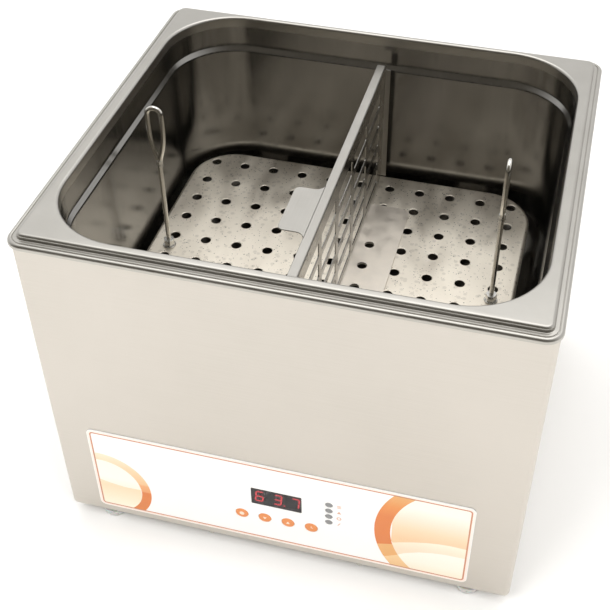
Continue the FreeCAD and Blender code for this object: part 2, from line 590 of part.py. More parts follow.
keep(group("inlet_screws", [
    bar(f"inlet_screw_{i}", (f"{IN_X} + {side} * 20", f"{CASE_BACK} + 2.7", IN_Z), "2.9", "1.4", "y")
    for i, side in enumerate((-1, 1))]))
drawer_box = block("drawer_box", (f"{IN_X} - 10.8", f"{CASE_BACK} - 19.5", f"{IN_Z} - 12.3"),
                   ("21.6", "22.4", "7.6"))
drawer_grip = block("drawer_grip", (f"{IN_X} - 5", f"{CASE_BACK} + 2.8", f"{IN_Z} - 12"),
                    ("10", "1.8", "2"))
FUSE = (IN_X, f"{CASE_BACK} - 18.7", f"{IN_Z} - 8")
fuse_bed = block("fuse_bed", (f"{IN_X} - 2.7", f"{CASE_BACK} - 18.9", f"{IN_Z} - 10.7"),
                 ("5.4", "20.5", "12"))
fuse_glass = bar("fuse_glass", FUSE, "2.2", "20", "y")
fuse_caps = [bar(f"fuse_cap_{i}", (IN_X, f"{CASE_BACK} - 18.7 + {15 * i}", f"{IN_Z} - 8"), "2.5", "5", "y")
             for i in range(2)]
keep(join("fuse", [fuse_glass] + fuse_caps))
keep(cut("fuse_drawer", join("drawer_solid", [drawer_box, drawer_grip]), [fuse_bed]))

# ---------------------------------------------------------------- power switch
SW_X, SW_Z = "Dims.switch_across", "Dims.switch_level"
switch_bezel = plate("switch_bezel", "XZ_Plane", (f"{SW_X} - 13", f"{SW_Z} - 16"),
                     (f"{SW_X} + 13", f"{SW_Z} + 16"),
                     "2", f"-({CASE_BACK}) - 2.1", "2")
switch_box = block("switch_box", (f"{SW_X} - 11", f"{CASE_BACK} - 22", f"{SW_Z} - 14"), ("22", "23", "28"))
switch_well = block("switch_well", (f"{SW_X} - 9", f"{CASE_BACK} - 10", f"{SW_Z} - 12.4"),
                    ("18", "30", "24.8"))
axle_holes = bar("switch_axle_hole", (f"{SW_X} - 10", f"{CASE_BACK} - 3", SW_Z), "1.55", "20", "x")
blades = [block(f"switch_blade_{i}", (f"{SW_X} {dx}", f"{CASE_BACK} - 30", f"{SW_Z} {dz}"),
                ("0.8", "8.5", "6"))
          for i, (dx, dz) in enumerate((("- 6", "- 11"), ("+ 5", "- 11"), ("- 6", "+ 3"), ("+ 5", "+ 3")))]
keep(join("power_switch", [cut("switch_shell", join("switch_solid", [switch_bezel, switch_box]),
                               [switch_well, axle_holes])] + blades))
rocker = doc.addObject("PartDesign::Body", "power_rocker")
rocker_side = sketch_on(rocker, "rocker_side", "YZ_Plane", f"{SW_X} - 8.7")
y_axle, z_axle = number(CASE_BACK) - 3, number(SW_Z)
profile = [(-1.5, -4.5), (6.2, -11.4), (5.2, 0), (8.4, 10), (-1.5, 6.5), (-2.6, 0)]
points = [Vector(y_axle + dy, z_axle + dz, 0) for dy, dz in profile]
for i, point in enumerate(points):
    rocker_side.addGeometry(Part.LineSegment(point, points[(i + 1) % len(points)]), False)
for i in range(len(points)):
    rocker_side.addConstraint(Sketcher.Constraint("Coincident", i, 2, (i + 1) % len(points), 1))
pad(rocker, rocker_side, "17.4")
axle_sketch = sketch_on(rocker, "rocker_axle", "YZ_Plane", f"{SW_X} - 9.9")
axle_sketch.addGeometry(Part.Circle(Vector(y_axle, z_axle, 0), Vector(0, 0, 1), 1.5), False)
pad(rocker, axle_sketch, "19.8")
keep(rocker)

# ---------------------------------------------------------------- wiring inside the case
wires("mains_wires", [
    [(f"{IN_X} - 7 + {14 * i}", f"{CASE_BACK} - 26.1", f"{IN_Z}"), (f"{IN_X} - 7 + {14 * i}",
                                                                    f"{CASE_BACK} - 40", f"{IN_Z}"),
     (f"{IN_X} - 7 + {14 * i}", f"{CASE_BACK} - 40 - {6 * i}", f"{PLATE_TOP} + 50"),
     (f"-9 + {9 * i}", f"{CASE_BACK} - 46 - {6 * i}", f"{PLATE_TOP} + 50"),
     (f"-9 + {9 * i}", "-50", f"{PLATE_TOP} + 50"), (f"-9 + {9 * i}", "-50", f"{PLATE_TOP} + 24.5")]
    for i in range(2)], 1.3, 5)
wires("heater_leads", [
    [("75", "52", f"{PLATE_TOP} + 25.2"), ("75", "52", f"{PLATE_TOP} + 40"),
     ("75", "-96", f"{PLATE_TOP} + 60"), ("66", "-96", f"{UNDER_TANK} - 19")]], 1.3, 5)
wires("probe_lead", [
    [("-40.2", "-100", f"{UNDER_TANK} - 2.7"), ("-60", "-100", f"{UNDER_TANK} - 2.7"),
     ("-60", "-112", f"{UNDER_TANK} - 25"), ("-50", "-112", "80"), ("-50", f"{BOARD_BACK} + 2", "80")]],
      1.1, 3.5)
ribbon = plate("ribbon_drop", "YZ_Plane", (f"{BOARD_BACK} + 8", "22"), (f"{BOARD_BACK} + 8.8", "60"), "0.2",
               "-30", "20")
ribbon_top = block("ribbon_top", ("-30", f"{BOARD_BACK} + 0.2", "59.2"), ("20", "8.6", "0.8"))
ribbon_low = block("ribbon_low", ("-30", f"{BOARD_BACK} + 8", "22"), ("20", f"-84 - ({BOARD_BACK})", "0.8"))
keep(join("ribbon_cable", [ribbon, ribbon_top, ribbon_low]))

# ---------------------------------------------------------------- perforated tray
# Dished sheet with a turned-down edge; a grid of round holes; it stands on four tab legs.
TRAY = (("Dims.tray_left", "Dims.tray_front"),
        ("Dims.tray_left + Dims.tray_width", "Dims.tray_front + Dims.tray_depth"))
tray = doc.addObject("PartDesign::Body", "tray_plate")
tray_block = sketch_on(tray, "tray_outline", "XY_Plane", "Dims.tray_top - Dims.tray_edge")
draw_outline(tray_block, *TRAY, "Dims.tray_corner")
pad(tray, tray_block, "Dims.tray_edge")
tray_under = sketch_on(tray, "tray_underside", "XY_Plane", "Dims.tray_top - Dims.tray_gauge")
draw_outline(tray_under, ("Dims.tray_left + Dims.tray_gauge", "Dims.tray_front + Dims.tray_gauge"),
             ("Dims.tray_left + Dims.tray_width - Dims.tray_gauge",
              "Dims.tray_front + Dims.tray_depth - Dims.tray_gauge"),
             "Dims.tray_corner - Dims.tray_gauge")
pocket(tray, tray_under, "Dims.tray_edge")
first_hole = sketch_on(tray, "tray_hole", "XY_Plane", "Dims.tray_top + 1")
first_hole.addGeometry(Part.Circle(Vector(number("Dims.first_column"), number("Dims.first_row"), 0),
                                   Vector(0, 0, 1), number("Dims.hole_radius")), False)
for kind, where, formula in (("DistanceX", (-1, 1, 0, 3), "Dims.first_column"),
                             ("DistanceY", (-1, 1, 0, 3), "Dims.first_row"),
                             ("Radius", (0,), "Dims.hole_radius")):
    index = first_hole.addConstraint(Sketcher.Constraint(kind, *where, number(formula)))
    first_hole.setExpression(f"Constraints[{index}]", formula)
hole_cut = pocket(tray, first_hole, "4")
pattern(tray, "hole_grid", hole_cut, (("X_Axis", "Dims.pitch_across", 11), ("Y_Axis", "Dims.pitch_deep",
    10)))
ROD_X = [f"Dims.first_column + {column} * Dims.pitch_across" for column in (0, 10)]
rod_holes = [bar(f"tray_rod_hole_{i}", (x, "Dims.rod_row", "Dims.tray_top - 3"), "Dims.rod_radius + 0.1",
                 "6")
             for i, x in enumerate(ROD_X)]
tray.Label = "tray_blank"
tray_done = cut("tray", tray, rod_holes)
keep(tray_done)

LEG_LOW = f"{TANK_FLOOR} + Dims.rest_gap"
LEG_TALL = f"Dims.tray_top - Dims.tray_gauge - 0.1 - ({LEG_LOW})"
LEG_PLACES = [(x, y) for x in ("-96", "86")
              for y in ("Dims.tray_front + 11.8", "Dims.tray_front + Dims.tray_depth - 11")]
legs = [block(f"tray_leg_{i}", (f"{x} - 12", y, LEG_LOW), ("24", "Dims.tray_gauge", LEG_TALL))
        for i, (x, y) in enumerate(LEG_PLACES)]
keep(group("tray_legs", legs))

# ---------------------------------------------------------------- lifting rods
# Steel wire stems; a long narrow eye is crimped to each in a collar; nuts and a washer at the foot.
THROAT = "(Dims.rod_top - Dims.eye_height)"
CRIMP = "(Dims.collar_height + Dims.collar_length / 2)"
STEM_LOW = "(Dims.tray_top - 9)"
for name, x in zip(("left_lifting_rod", "right_lifting_rod"), ROD_X):
    keep(bar(name, (x, "Dims.rod_row", STEM_LOW), "Dims.rod_radius", f"{CRIMP} - {STEM_LOW}"))


def eye_shape(x, turned):
    """An eye on its short tail: two slanting sides and a round top."""
    r, bow, top = number("Dims.rod_radius"), number("Dims.eye_radius"), number("Dims.rod_top")
    throat, tail = number(THROAT), number(CRIMP) + 0.05
    centre = top - r - bow
    lean = math.asin((bow - r) / (centre - throat))
    pieces = [Part.makeCylinder(r, throat - tail, Vector(0, 0, tail))]
    for side in (-1, 1):
        foot = Vector(side * (r - 0.6), 0, throat)
        knee = Vector(side * bow * math.cos(lean), 0, centre - bow * math.sin(lean))
        pieces.append(Part.makeCylinder(r, (knee - foot).Length, foot, knee - foot))
        pieces += [Part.makeSphere(r, knee), Part.makeSphere(r, foot)]
    bend = Part.makeTorus(bow, r, Vector(0, 0, centre), Vector(0, 1, 0))
    lower = Part.makeBox(4 * bow, 4 * bow, 4 * bow, Vector(-2 * bow, -2 * bow, centre - 4 * bow))
    eye = bend.cut(lower).multiFuse(pieces)
    if turned:
        eye.rotate(Vector(), Vector(0, 0, 1), 90)
    eye.translate(Vector(x, number("Dims.rod_row"), 0))
    return eye


for name, x, turned in (("left_rod_eye", ROD_X[0], False), ("right_rod_eye", ROD_X[1], True)):
    eye = doc.addObject("Part::Feature", name)
    eye.Shape = eye_shape(number(x), turned)
    keep(eye)

collars, nuts, washers = [], [], []
for i, x in enumerate(ROD_X):
    ring = bar(f"collar_ring_{i}", (x, "Dims.rod_row", "Dims.collar_height"), "Dims.collar_radius",
               "Dims.collar_length")
    bore = bar(f"collar_bore_{i}", (x, "Dims.rod_row", "Dims.collar_height - 1"), "Dims.rod_radius + 0.02",
               "9")
    collars.append(cut(f"collar_{i}", ring, [bore]))
    for place_name, low, tall in (("top", "Dims.tray_top + 1.3", "5.5"),
                                  ("under", "Dims.tray_top - Dims.tray_gauge - 4.2", "4")):
        body = hexagon(f"nut_body_{place_name}_{i}", (x, "Dims.rod_row", low), "4.4", tall)
        hole = bar(f"nut_bore_{place_name}_{i}", (x, "Dims.rod_row", f"{low} - 1"),
                   "Dims.rod_radius + 0.02", "12")
        nuts.append(cut(f"nut_{place_name}_{i}", body, [hole]))
    disc = bar(f"washer_disc_{i}", (x, "Dims.rod_row", "Dims.tray_top + 0.1"), "5.2", "1.1")
    hole = bar(f"washer_bore_{i}", (x, "Dims.rod_row", "Dims.tray_top - 1"), "Dims.rod_radius + 0.1", "5")
    washers.append(cut(f"washer_{i}", disc, [hole]))
keep(group("rod_collars", collars))
keep(group("rod_nuts", nuts))
keep(group("rod_washers", washers))

# ---------------------------------------------------------------- lift-out divider
# Slotted plate, top folded to the left with a lifting tab, ends and foot folded to the right.
DIV_X = "Dims.divider_right - Dims.divider_gauge"
DIV_LOW = "Dims.tray_top + Dims.rest_gap"
web = plate("divider_web", "YZ_Plane", ("Dims.divider_front", DIV_LOW),
            ("Dims.divider_back", "Dims.divider_top"),
            "0.5", DIV_X, "Dims.divider_gauge")
slot_grid(web, "divider_slots", "YZ_Plane", ("Dims.slot_first", "Dims.slot_low"),
          ("Dims.slot_first + Dims.slot_long", "Dims.slot_low + Dims.slot_tall"), "2", f"{DIV_X} + 3", "6",
          (("Y_Axis", "Dims.slot_pitch_long", 5), ("Z_Axis", "Dims.slot_pitch_tall", 5)))
fold = block("divider_fold", (f"Dims.divider_right - Dims.top_fold", "Dims.divider_front",
                              "Dims.divider_top - Dims.divider_gauge"),
             ("Dims.top_fold", "Dims.divider_back - Dims.divider_front", "Dims.divider_gauge"))
tab_sheet = plate("divider_tab", "XY_Plane",
                  ("Dims.divider_right - Dims.top_fold - Dims.tab_reach",
                   "Dims.tab_middle - Dims.tab_length / 2"),
                  ("Dims.divider_right - 2", "Dims.tab_middle + Dims.tab_length / 2"), "4",
                  "Dims.divider_top - Dims.divider_gauge", "Dims.divider_gauge")
ends = [block(f"divider_end_{i}", ("Dims.divider_right - 0.5", y, DIV_LOW),
              ("Dims.end_fold", "Dims.divider_gauge", "Dims.divider_top - Dims.tray_top - 3"))
        for i, y in enumerate(("Dims.divider_front", "Dims.divider_back - Dims.divider_gauge"))]
keep(join("divider", [web, fold, tab_sheet] + ends))

foot_sheet = plate("divider_foot_sheet", "XY_Plane", ("Dims.divider_right + 0.05", "-Dims.foot_plate_half"),
                   ("Dims.divider_right + Dims.foot_plate_reach", "Dims.foot_plate_half"), "9", DIV_LOW,
                   "Dims.divider_gauge")
square_end = block("divider_foot_root", ("Dims.divider_right + 0.05", "-Dims.foot_plate_half", DIV_LOW),
                   ("12", "2 * Dims.foot_plate_half", "Dims.divider_gauge"))
foot_holes = [bar(f"divider_foot_hole_{i}",
                  ("Dims.first_column + 6 * Dims.pitch_across", f"Dims.first_row + {row} * Dims.pitch_deep",
                   "Dims.tray_top - 2"),
                  "Dims.hole_radius", "8") for i, row in enumerate((3, 4, 5, 6))]
keep(cut("divider_foot", join("divider_foot_solid", [foot_sheet, square_end]), foot_holes))

# ---------------------------------------------------------------- check and write
doc.recompute()
faults = [item.Name for item in doc.Objects if "Invalid" in item.State or "Error" in item.State]
faults += [item.Label for item in sub_parts if item.Shape.isNull() or not item.Shape.isValid()]
if faults:
    raise RuntimeError("failed: " + ", ".join(faults))
os.makedirs("parts", exist_ok=True)
for item in sub_parts:
    item.Shape.exportStep(f"parts/{item.Label}.step")
print(len(sub_parts), "sub-parts written")
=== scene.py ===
import bpy
import bmesh
import math
from mathutils import Matrix, Vector


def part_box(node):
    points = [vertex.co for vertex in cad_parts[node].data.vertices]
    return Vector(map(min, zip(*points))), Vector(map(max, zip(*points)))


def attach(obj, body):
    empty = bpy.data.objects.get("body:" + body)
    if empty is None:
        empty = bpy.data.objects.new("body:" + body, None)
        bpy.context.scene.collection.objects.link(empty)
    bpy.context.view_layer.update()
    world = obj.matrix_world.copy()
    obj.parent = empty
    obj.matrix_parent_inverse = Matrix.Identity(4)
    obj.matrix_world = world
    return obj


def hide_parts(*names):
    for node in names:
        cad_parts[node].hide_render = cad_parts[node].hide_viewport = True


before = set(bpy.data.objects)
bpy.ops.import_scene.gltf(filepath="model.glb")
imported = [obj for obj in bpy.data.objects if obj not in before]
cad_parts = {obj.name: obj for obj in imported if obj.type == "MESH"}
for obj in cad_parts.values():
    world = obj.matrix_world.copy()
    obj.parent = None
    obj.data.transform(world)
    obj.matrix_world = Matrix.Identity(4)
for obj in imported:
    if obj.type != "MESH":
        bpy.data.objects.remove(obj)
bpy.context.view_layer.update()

MM = 0.001

# ------------------------------------------------------------------------------------------------
# Studio. A pale floor, a pale surround that is dimmer on the viewer's side, and soft lamps that
# light the printed and moulded pieces without showing as hard shapes in the steel.
scene = bpy.context.scene
scene.view_settings.view_transform = "Standard"


def tone(code):
    """An sRGB hex colour as linear red, green, blue and alpha."""
    channels = [int(code[i:i + 2], 16) / 255 for i in (1, 3, 5)]
    return tuple(c / 12.92 if c <= 0.04045 else ((c + 0.055) / 1.055) ** 2.4 for c in channels) + (1,)


def add_node(tree, kind, inputs=None, **settings):
    """One node with its settings; inputs maps a socket to a value or to the socket that feeds it."""
    node = tree.nodes.new(kind)
    for name, value in settings.items():
        setattr(node, name, value)
    for key, value in (inputs or {}).items():
        if isinstance(value, bpy.types.NodeSocket):
            tree.links.new(value, node.inputs[key])
        else:
            node.inputs[key].default_value = value
    return node


def new_surface(name, shader_inputs):
    """A material with one Principled shader; returns it with its tree and the shader."""
    material = bpy.data.materials.new(name)
    material.use_nodes = True
    tree = material.node_tree
    tree.nodes.clear()
    shader = add_node(tree, "ShaderNodeBsdfPrincipled", shader_inputs)
    add_node(tree, "ShaderNodeOutputMaterial", {"Surface": shader.outputs["BSDF"]})
    return material, tree, shader


world = bpy.data.worlds.new("studio_surround")
scene.world = world
world.use_nodes = True
world.node_tree.nodes.clear()
direction = add_node(world.node_tree, "ShaderNodeTexCoord")
split = add_node(world.node_tree, "ShaderNodeSeparateXYZ", {0: direction.outputs["Generated"]})
side = add_node(world.node_tree, "ShaderNodeMapRange",
                {0: split.outputs["Y"], 1: -0.75, 2: 0.25, 3: 0.0, 4: 1.0},
                interpolation_type="SMOOTHSTEP")
surround = add_node(world.node_tree, "ShaderNodeMix",
                    {0: side.outputs[0], 6: tone("#6A655C"), 7: tone("#FFFFFF")}, data_type="RGBA")
seen = add_node(world.node_tree, "ShaderNodeLightPath")
shown = add_node(world.node_tree, "ShaderNodeMix",
                 {0: seen.outputs["Is Camera Ray"], 6: surround.outputs[2], 7: tone("#FFFFFF")},
                 data_type="RGBA")
backdrop = add_node(world.node_tree, "ShaderNodeBackground",
                    {"Color": shown.outputs[2], "Strength": 1.0})
add_node(world.node_tree, "ShaderNodeOutputWorld", {"Surface": backdrop.outputs[0]})

AIM = Vector((0, 0, 0.15))
for name, place, size, power in (("key_lamp", (-0.9, -1.3, 1.7), 1.2, 24),
                                 ("fill_lamp", (1.5, -0.9, 1.3), 1.4, 16),
                                 ("top_lamp", (0.0, 0.3, 1.8), 1.8, 15.5)):
    lamp = bpy.data.objects.new(name, bpy.data.lights.new(name, "AREA"))
    lamp.data.size = size
    lamp.data.energy = power
    lamp.location = place
    lamp.rotation_euler = (AIM - Vector(place)).to_track_quat("-Z", "Y").to_euler()
    lamp.visible_glossy = name == "top_lamp"
    scene.collection.objects.link(lamp)

floor_mesh = bpy.data.meshes.new("floor")
FLOOR_HALF = 6
floor_mesh.from_pydata([(-FLOOR_HALF, -FLOOR_HALF, 0), (FLOOR_HALF, -FLOOR_HALF, 0),
                        (FLOOR_HALF, FLOOR_HALF, 0), (-FLOOR_HALF, FLOOR_HALF, 0)], [], [(0, 1, 2, 3)])
floor = bpy.data.objects.new("floor", floor_mesh)
scene.collection.objects.link(floor)
floor_paint, tree, shader = new_surface("pale_studio_floor",
                                        {"Base Color": tone("#F7F6F4"), "Roughness": 0.9})
floor_mesh.materials.append(floor_paint)

# The eye stands in front and to the right, 42 degrees above the rim, with a long lens.
EYE = Vector((0.15594, -0.62856, 0.73397))
YAW, PITCH, ROLL = 0.2427, 0.7373, 0.0091
ahead = Vector((-math.sin(YAW) * math.cos(PITCH), math.cos(YAW) * math.cos(PITCH), -math.sin(PITCH)))
level = Vector((math.cos(YAW), math.sin(YAW), 0))
upward = level.cross(ahead)
right = level * math.cos(ROLL) + upward * math.sin(ROLL)
above = upward * math.cos(ROLL) - level * math.sin(ROLL)
camera = bpy.data.objects.new("camera", bpy.data.cameras.new("camera"))
camera.matrix_world = Matrix.Translation(EYE) @ Matrix((right, above, -ahead)).transposed().to_4x4()
camera.data.sensor_width = 36
camera.data.lens = 65.1
camera.data.shift_x, camera.data.shift_y = -0.0462, -0.0251
camera.data.clip_start = 0.01
scene.collection.objects.link(camera)
scene.camera = camera

# ------------------------------------------------------------------------------------------------
# Tank. One pressing of 1 mm stainless sheet: a flat deck, a step down to a ledge with a fine groove,
# a rounded outer bead, and a polished bowl with a small shoulder and a rounded floor.
MERGE = 0.002 * MM
LEAST_RADIUS = 0.02 * MM
CREASE_DEGREES = 32


def rounded_loop(low, high, radius, steps=14):
    """Points round a rectangle with equal corner arcs, from the lower right corner, counter-clockwise."""
    radius = max(radius, LEAST_RADIUS)
    points = []
    for i, (sx, sy) in enumerate(((1, -1), (1, 1), (-1, 1), (-1, -1))):
        cx = (high[0] - radius) if sx > 0 else (low[0] + radius)
        cy = (high[1] - radius) if sy > 0 else (low[1] + radius)
        for k in range(steps + 1):
            angle = (i - 1 + k / steps) * math.pi / 2
            points.append((cx + radius * math.cos(angle), cy + radius * math.sin(angle)))
    return points


def mesh_of(name, shape):
    """Turn an edit shape into a mesh and let the shape go."""
    mesh = bpy.data.meshes.new(name)
    shape.to_mesh(mesh)
    shape.free()
    return mesh


def placed(name, mesh):
    """An object at the origin, in the scene."""
    piece = bpy.data.objects.new(name, mesh)
    scene.collection.objects.link(piece)
    return piece


def creased(piece, degrees=CREASE_DEGREES):
    """Shade a piece smooth except over edges sharper than an angle."""
    piece.data.shade_smooth()
    piece.data.set_sharp_from_angle(angle=math.radians(degrees))
    return piece


def tidied(shape, merge=MERGE):
    """Merge a shape's doubled points and point its faces outward."""
    bmesh.ops.remove_doubles(shape, verts=shape.verts, dist=merge)
    bmesh.ops.recalc_face_normals(shape, faces=shape.faces)
    return shape


def mesh_piece(name, points, faces):
    """A creased piece from points and faces."""
    mesh = bpy.data.meshes.new(name)
    mesh.from_pydata(points, [], faces)
    shape = bmesh.new()
    shape.from_mesh(mesh)
    bpy.data.meshes.remove(mesh)
    return creased(placed(name, mesh_of(name, tidied(shape))))


def skin(name, rows, ends=True):
    """Faces between closed rows of points that have the same count; ends closes the first and last row."""
    count = len(rows[0])
    points = [point for row in rows for point in row]
    faces = []
    for i in range(len(rows) - 1):
        for k in range(count):
            a, b = i * count + k, i * count + (k + 1) % count
            faces.append((a, b, b + count, a + count))
    if ends:
        faces.append(tuple(range(count)))
        faces.append(tuple((len(rows) - 1) * count + k for k in range(count)))
    return mesh_piece(name, points, faces)


def dress(piece, body, material, replaced=()):
    """Give a finished piece level shading, its material, its body and the nodes it stands for."""
    shading = piece.modifiers.new("level_shading", "WEIGHTED_NORMAL")
    shading.keep_sharp = True
    shading.weight = 100
    piece.data.materials.clear()
    piece.data.materials.append(material)
    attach(piece, body)
    if replaced:
        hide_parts(*replaced)
    return piece


tank_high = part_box("tank")[1]
deck = tank_high.z
half_lip = Vector((tank_high.x, tank_high.y))
half_mouth = Vector((162.0, 148.25)) * MM
MOUTH_SHIFT = 1 * MM
TANK_DEPTH, FLOOR_ROUND, MOUTH_ROUND, DECK_ROUND, BEAD_ROUND, SHEET_GAUGE = 150, 16, 2.2, 2.2, 2.4, 1


def rim_ring(inset, drop, radius):
    """A loop that lies inset from the outermost edge of the rim and drop below the deck."""
    corner = half_lip - Vector((inset, inset)) * MM
    return [(x, y, deck - drop * MM) for x, y in rounded_loop(-corner, corner, radius * MM)]


def bowl_ring(inset, drop, radius):
    """A loop that lies inset from the edge of the mouth and drop below the deck."""
    corner = half_mouth - Vector((inset, inset)) * MM
    shift = Vector((0, MOUTH_SHIFT))
    return [(x, y, deck - drop * MM)
            for x, y in rounded_loop(-corner + shift, corner + shift, radius * MM)]


def quarter(steps):
    """Angles from 0 to a quarter turn."""
    return [k * math.pi / 2 / steps for k in range(steps + 1)]


# From the middle of the floor up the inside, over the mouth, across the deck and step, round the outer
# bead, then back along the underside.
rows = []
for turn in reversed(quarter(8)):
    side = FLOOR_ROUND * (1 - math.cos(turn))
    drop = TANK_DEPTH - FLOOR_ROUND + FLOOR_ROUND * math.sin(turn)
    rows.append(bowl_ring(5.4 + side, drop, 48.5 - side))
rows += [bowl_ring(3.6, 30, 50.3), bowl_ring(3.4, 28.6, 50.6)]
rows += [bowl_ring(3.0, 27.9, 51), bowl_ring(0.9, 25.4, 53.1), bowl_ring(0.55, 24.6, 53.5),
         bowl_ring(0.35, 22, 53.7)]
for turn in quarter(6):
    rows.append(bowl_ring(-MOUTH_ROUND * (1 - math.cos(turn)), MOUTH_ROUND * (1 - math.sin(turn)),
                          54 + MOUTH_ROUND * (1 - math.cos(turn))))
for turn in quarter(6):
    rows.append(rim_ring(6.5 + DECK_ROUND * (1 - math.sin(turn)), DECK_ROUND * (1 - math.cos(turn)),
                         5.5 - DECK_ROUND * (1 - math.sin(turn))))
rows += [rim_ring(6.45, 3.5, 5.6), rim_ring(6.2, 4.0, 5.8), rim_ring(5.7, 4.2, 6.3),
         rim_ring(3.7, 4.25, 8.3)]
rows += [rim_ring(3.5, 4.7, 8.5), rim_ring(3.2, 4.75, 8.8), rim_ring(3.0, 4.2, 9)]
for turn in quarter(6):
    rows.append(rim_ring(BEAD_ROUND * (1 - math.sin(turn)), 4.0 + BEAD_ROUND * (1 - math.cos(turn)),
                         12 - BEAD_ROUND * (1 - math.sin(turn))))
rows += [rim_ring(0, 7.4, 12), rim_ring(0.15, 7.9, 11.85), rim_ring(0.5, 8.1, 11.5),
         rim_ring(0.85, 7.9, 11.15)]
rows += [rim_ring(1, 7.4, 11), rim_ring(1.1, 5.3, 10.9), rim_ring(7.5, 5.2, 4.6),
         rim_ring(7.6, 1.1, 4.4)]
rows += [bowl_ring(-1.0, 1.2, 55), bowl_ring(-0.3, 25.4, 54.3), bowl_ring(2.4, 28.6, 51.6),
         bowl_ring(4.4, TANK_DEPTH - FLOOR_ROUND, 49.5)]
for turn in quarter(6):
    side = (FLOOR_ROUND + SHEET_GAUGE) * (1 - math.cos(turn))
    drop = TANK_DEPTH - FLOOR_ROUND + (FLOOR_ROUND + SHEET_GAUGE) * math.sin(turn)
    rows.append(bowl_ring(4.4 + side, drop, 49.5 - side))
tank = skin("tank_pressing", rows)

# Stainless 1.4301, pressed. The deck keeps a fine satin finish; the bowl is polished. Its walls are
# coloured much darker than the deck, a painted shade for how they read over their own reflections.
# Fine draw marks run down the walls, specks dry on them.
pressed, tree, shader = new_surface("stainless_pressed_satin_deck_polished_bowl_painted_shade", {"Metallic": 1.0})
place = add_node(tree, "ShaderNodeTexCoord").outputs["Object"]
height = add_node(tree, "ShaderNodeSeparateXYZ", {0: place}).outputs["Z"]
inside = add_node(tree, "ShaderNodeMapRange",
                  {0: height, 1: deck - 9.5 * MM, 2: deck - 7.5 * MM, 3: 1.0, 4: 0.0})
SATIN_GRAIN_MM, DRAW_MARK_MM, SMUDGE_MM = 0.8, 2.5, 45
grain_scale = add_node(tree, "ShaderNodeMapping",
                       {"Vector": place,
                        "Scale": (1 / (30 * MM), 1 / (SATIN_GRAIN_MM * MM), 1 / (30 * MM))})
grain = add_node(tree, "ShaderNodeTexNoise",
                 {"Vector": grain_scale.outputs[0], "Scale": 1.0, "Detail": 3.0})
mark_scale = add_node(tree, "ShaderNodeMapping",
                      {"Vector": place,
                       "Scale": (1 / (DRAW_MARK_MM * MM), 1 / (DRAW_MARK_MM * MM), 1 / (60 * MM))})
marks = add_node(tree, "ShaderNodeTexNoise",
                 {"Vector": mark_scale.outputs[0], "Scale": 1.0, "Detail": 4.0})
smudges = add_node(tree, "ShaderNodeTexNoise",
                   {"Vector": place, "Scale": 1 / (SMUDGE_MM * MM), "Detail": 5.0, "Roughness": 0.6})
deck_tone = add_node(tree, "ShaderNodeMix",
                     {0: smudges.outputs[0], 6: tone("#A9A69F"), 7: tone("#BEBBB5")}, data_type="RGBA")
# Painted shade: the bowl walls take a darker colour than the deck, though both are the same steel.
wall_painted_shade_tone = add_node(tree, "ShaderNodeMix",
                     {0: smudges.outputs[0], 6: tone("#868480"), 7: tone("#9D9B97")}, data_type="RGBA")
deck_and_painted_wall_shade_tone = add_node(tree, "ShaderNodeMix",
                      {0: inside.outputs[0], 6: deck_tone.outputs[2], 7: wall_painted_shade_tone.outputs[2]},
                      data_type="RGBA")
tree.links.new(deck_and_painted_wall_shade_tone.outputs[2], shader.inputs["Base Color"])
deck_rough = add_node(tree, "ShaderNodeMapRange",
                      {0: grain.outputs[0], 1: 0.3, 2: 0.7, 3: 0.28, 4: 0.36})
wall_rough = add_node(tree, "ShaderNodeMapRange",
                      {0: marks.outputs[0], 1: 0.3, 2: 0.7, 3: 0.16, 4: 0.24})
rough = add_node(tree, "ShaderNodeMix",
                 {0: inside.outputs[0], 2: deck_rough.outputs[0], 3: wall_rough.outputs[0]},
                 data_type="FLOAT")
tree.links.new(rough.outputs[0], shader.inputs["Roughness"])
relief_share = add_node(tree, "ShaderNodeMath", {0: inside.outputs[0], 1: 0.08}, operation="MULTIPLY")
relief = add_node(tree, "ShaderNodeBump",
                  {"Height": marks.outputs[0], "Strength": relief_share.outputs[0],
                   "Distance": 0.04 * MM})
tree.links.new(relief.outputs[0], shader.inputs["Normal"])
dress(tank, "bath", pressed, ["tank"])

# ------------------------------------------------------------------------------------------------
# Outer case. One folded wrap of 1 mm stainless sheet, brushed along its length: front, both sides,
# a return at the rear edges and a rounded fold along the bottom.
case_low, case_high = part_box("outer_case")
CASE_CORNER, REAR_CORNER, FOLD_ROUND, RETURN_WIDE, UNDER_FOLD = 4, 1.5, 7, 12, 11.5


def wrap_path(inset, corner_steps=8):
    """Plan of the wrap, inset from its outer face: rear left return, side, front, side, return."""
    left, front = case_low.x + inset * MM, case_low.y + inset * MM
    right_side, rear = case_high.x - inset * MM, case_high.y - inset * MM
    inner = RETURN_WIDE * MM
    stations = (((left, rear), REAR_CORNER), ((left, front), CASE_CORNER),
                ((right_side, front), CASE_CORNER), ((right_side, rear), REAR_CORNER))
    points = [(left + inner - inset * MM, rear)]
    for i, ((x, y), radius) in enumerate(stations):
        radius = max(radius - inset, 0.3) * MM
        cx, cy = x + (radius if x < 0 else -radius), y + (-radius if y > 0 else radius)
        for k in range(corner_steps + 1):
            angle = math.pi / 2 * (1 + i + k / corner_steps)
            points.append((cx + radius * math.cos(angle), cy + radius * math.sin(angle)))
    return points + [(right_side - inner + inset * MM, rear)]


def wrap_row(inset, z):
    """The wrap's plan at one height."""
    return [(x, y, z) for x, y in wrap_path(inset)]


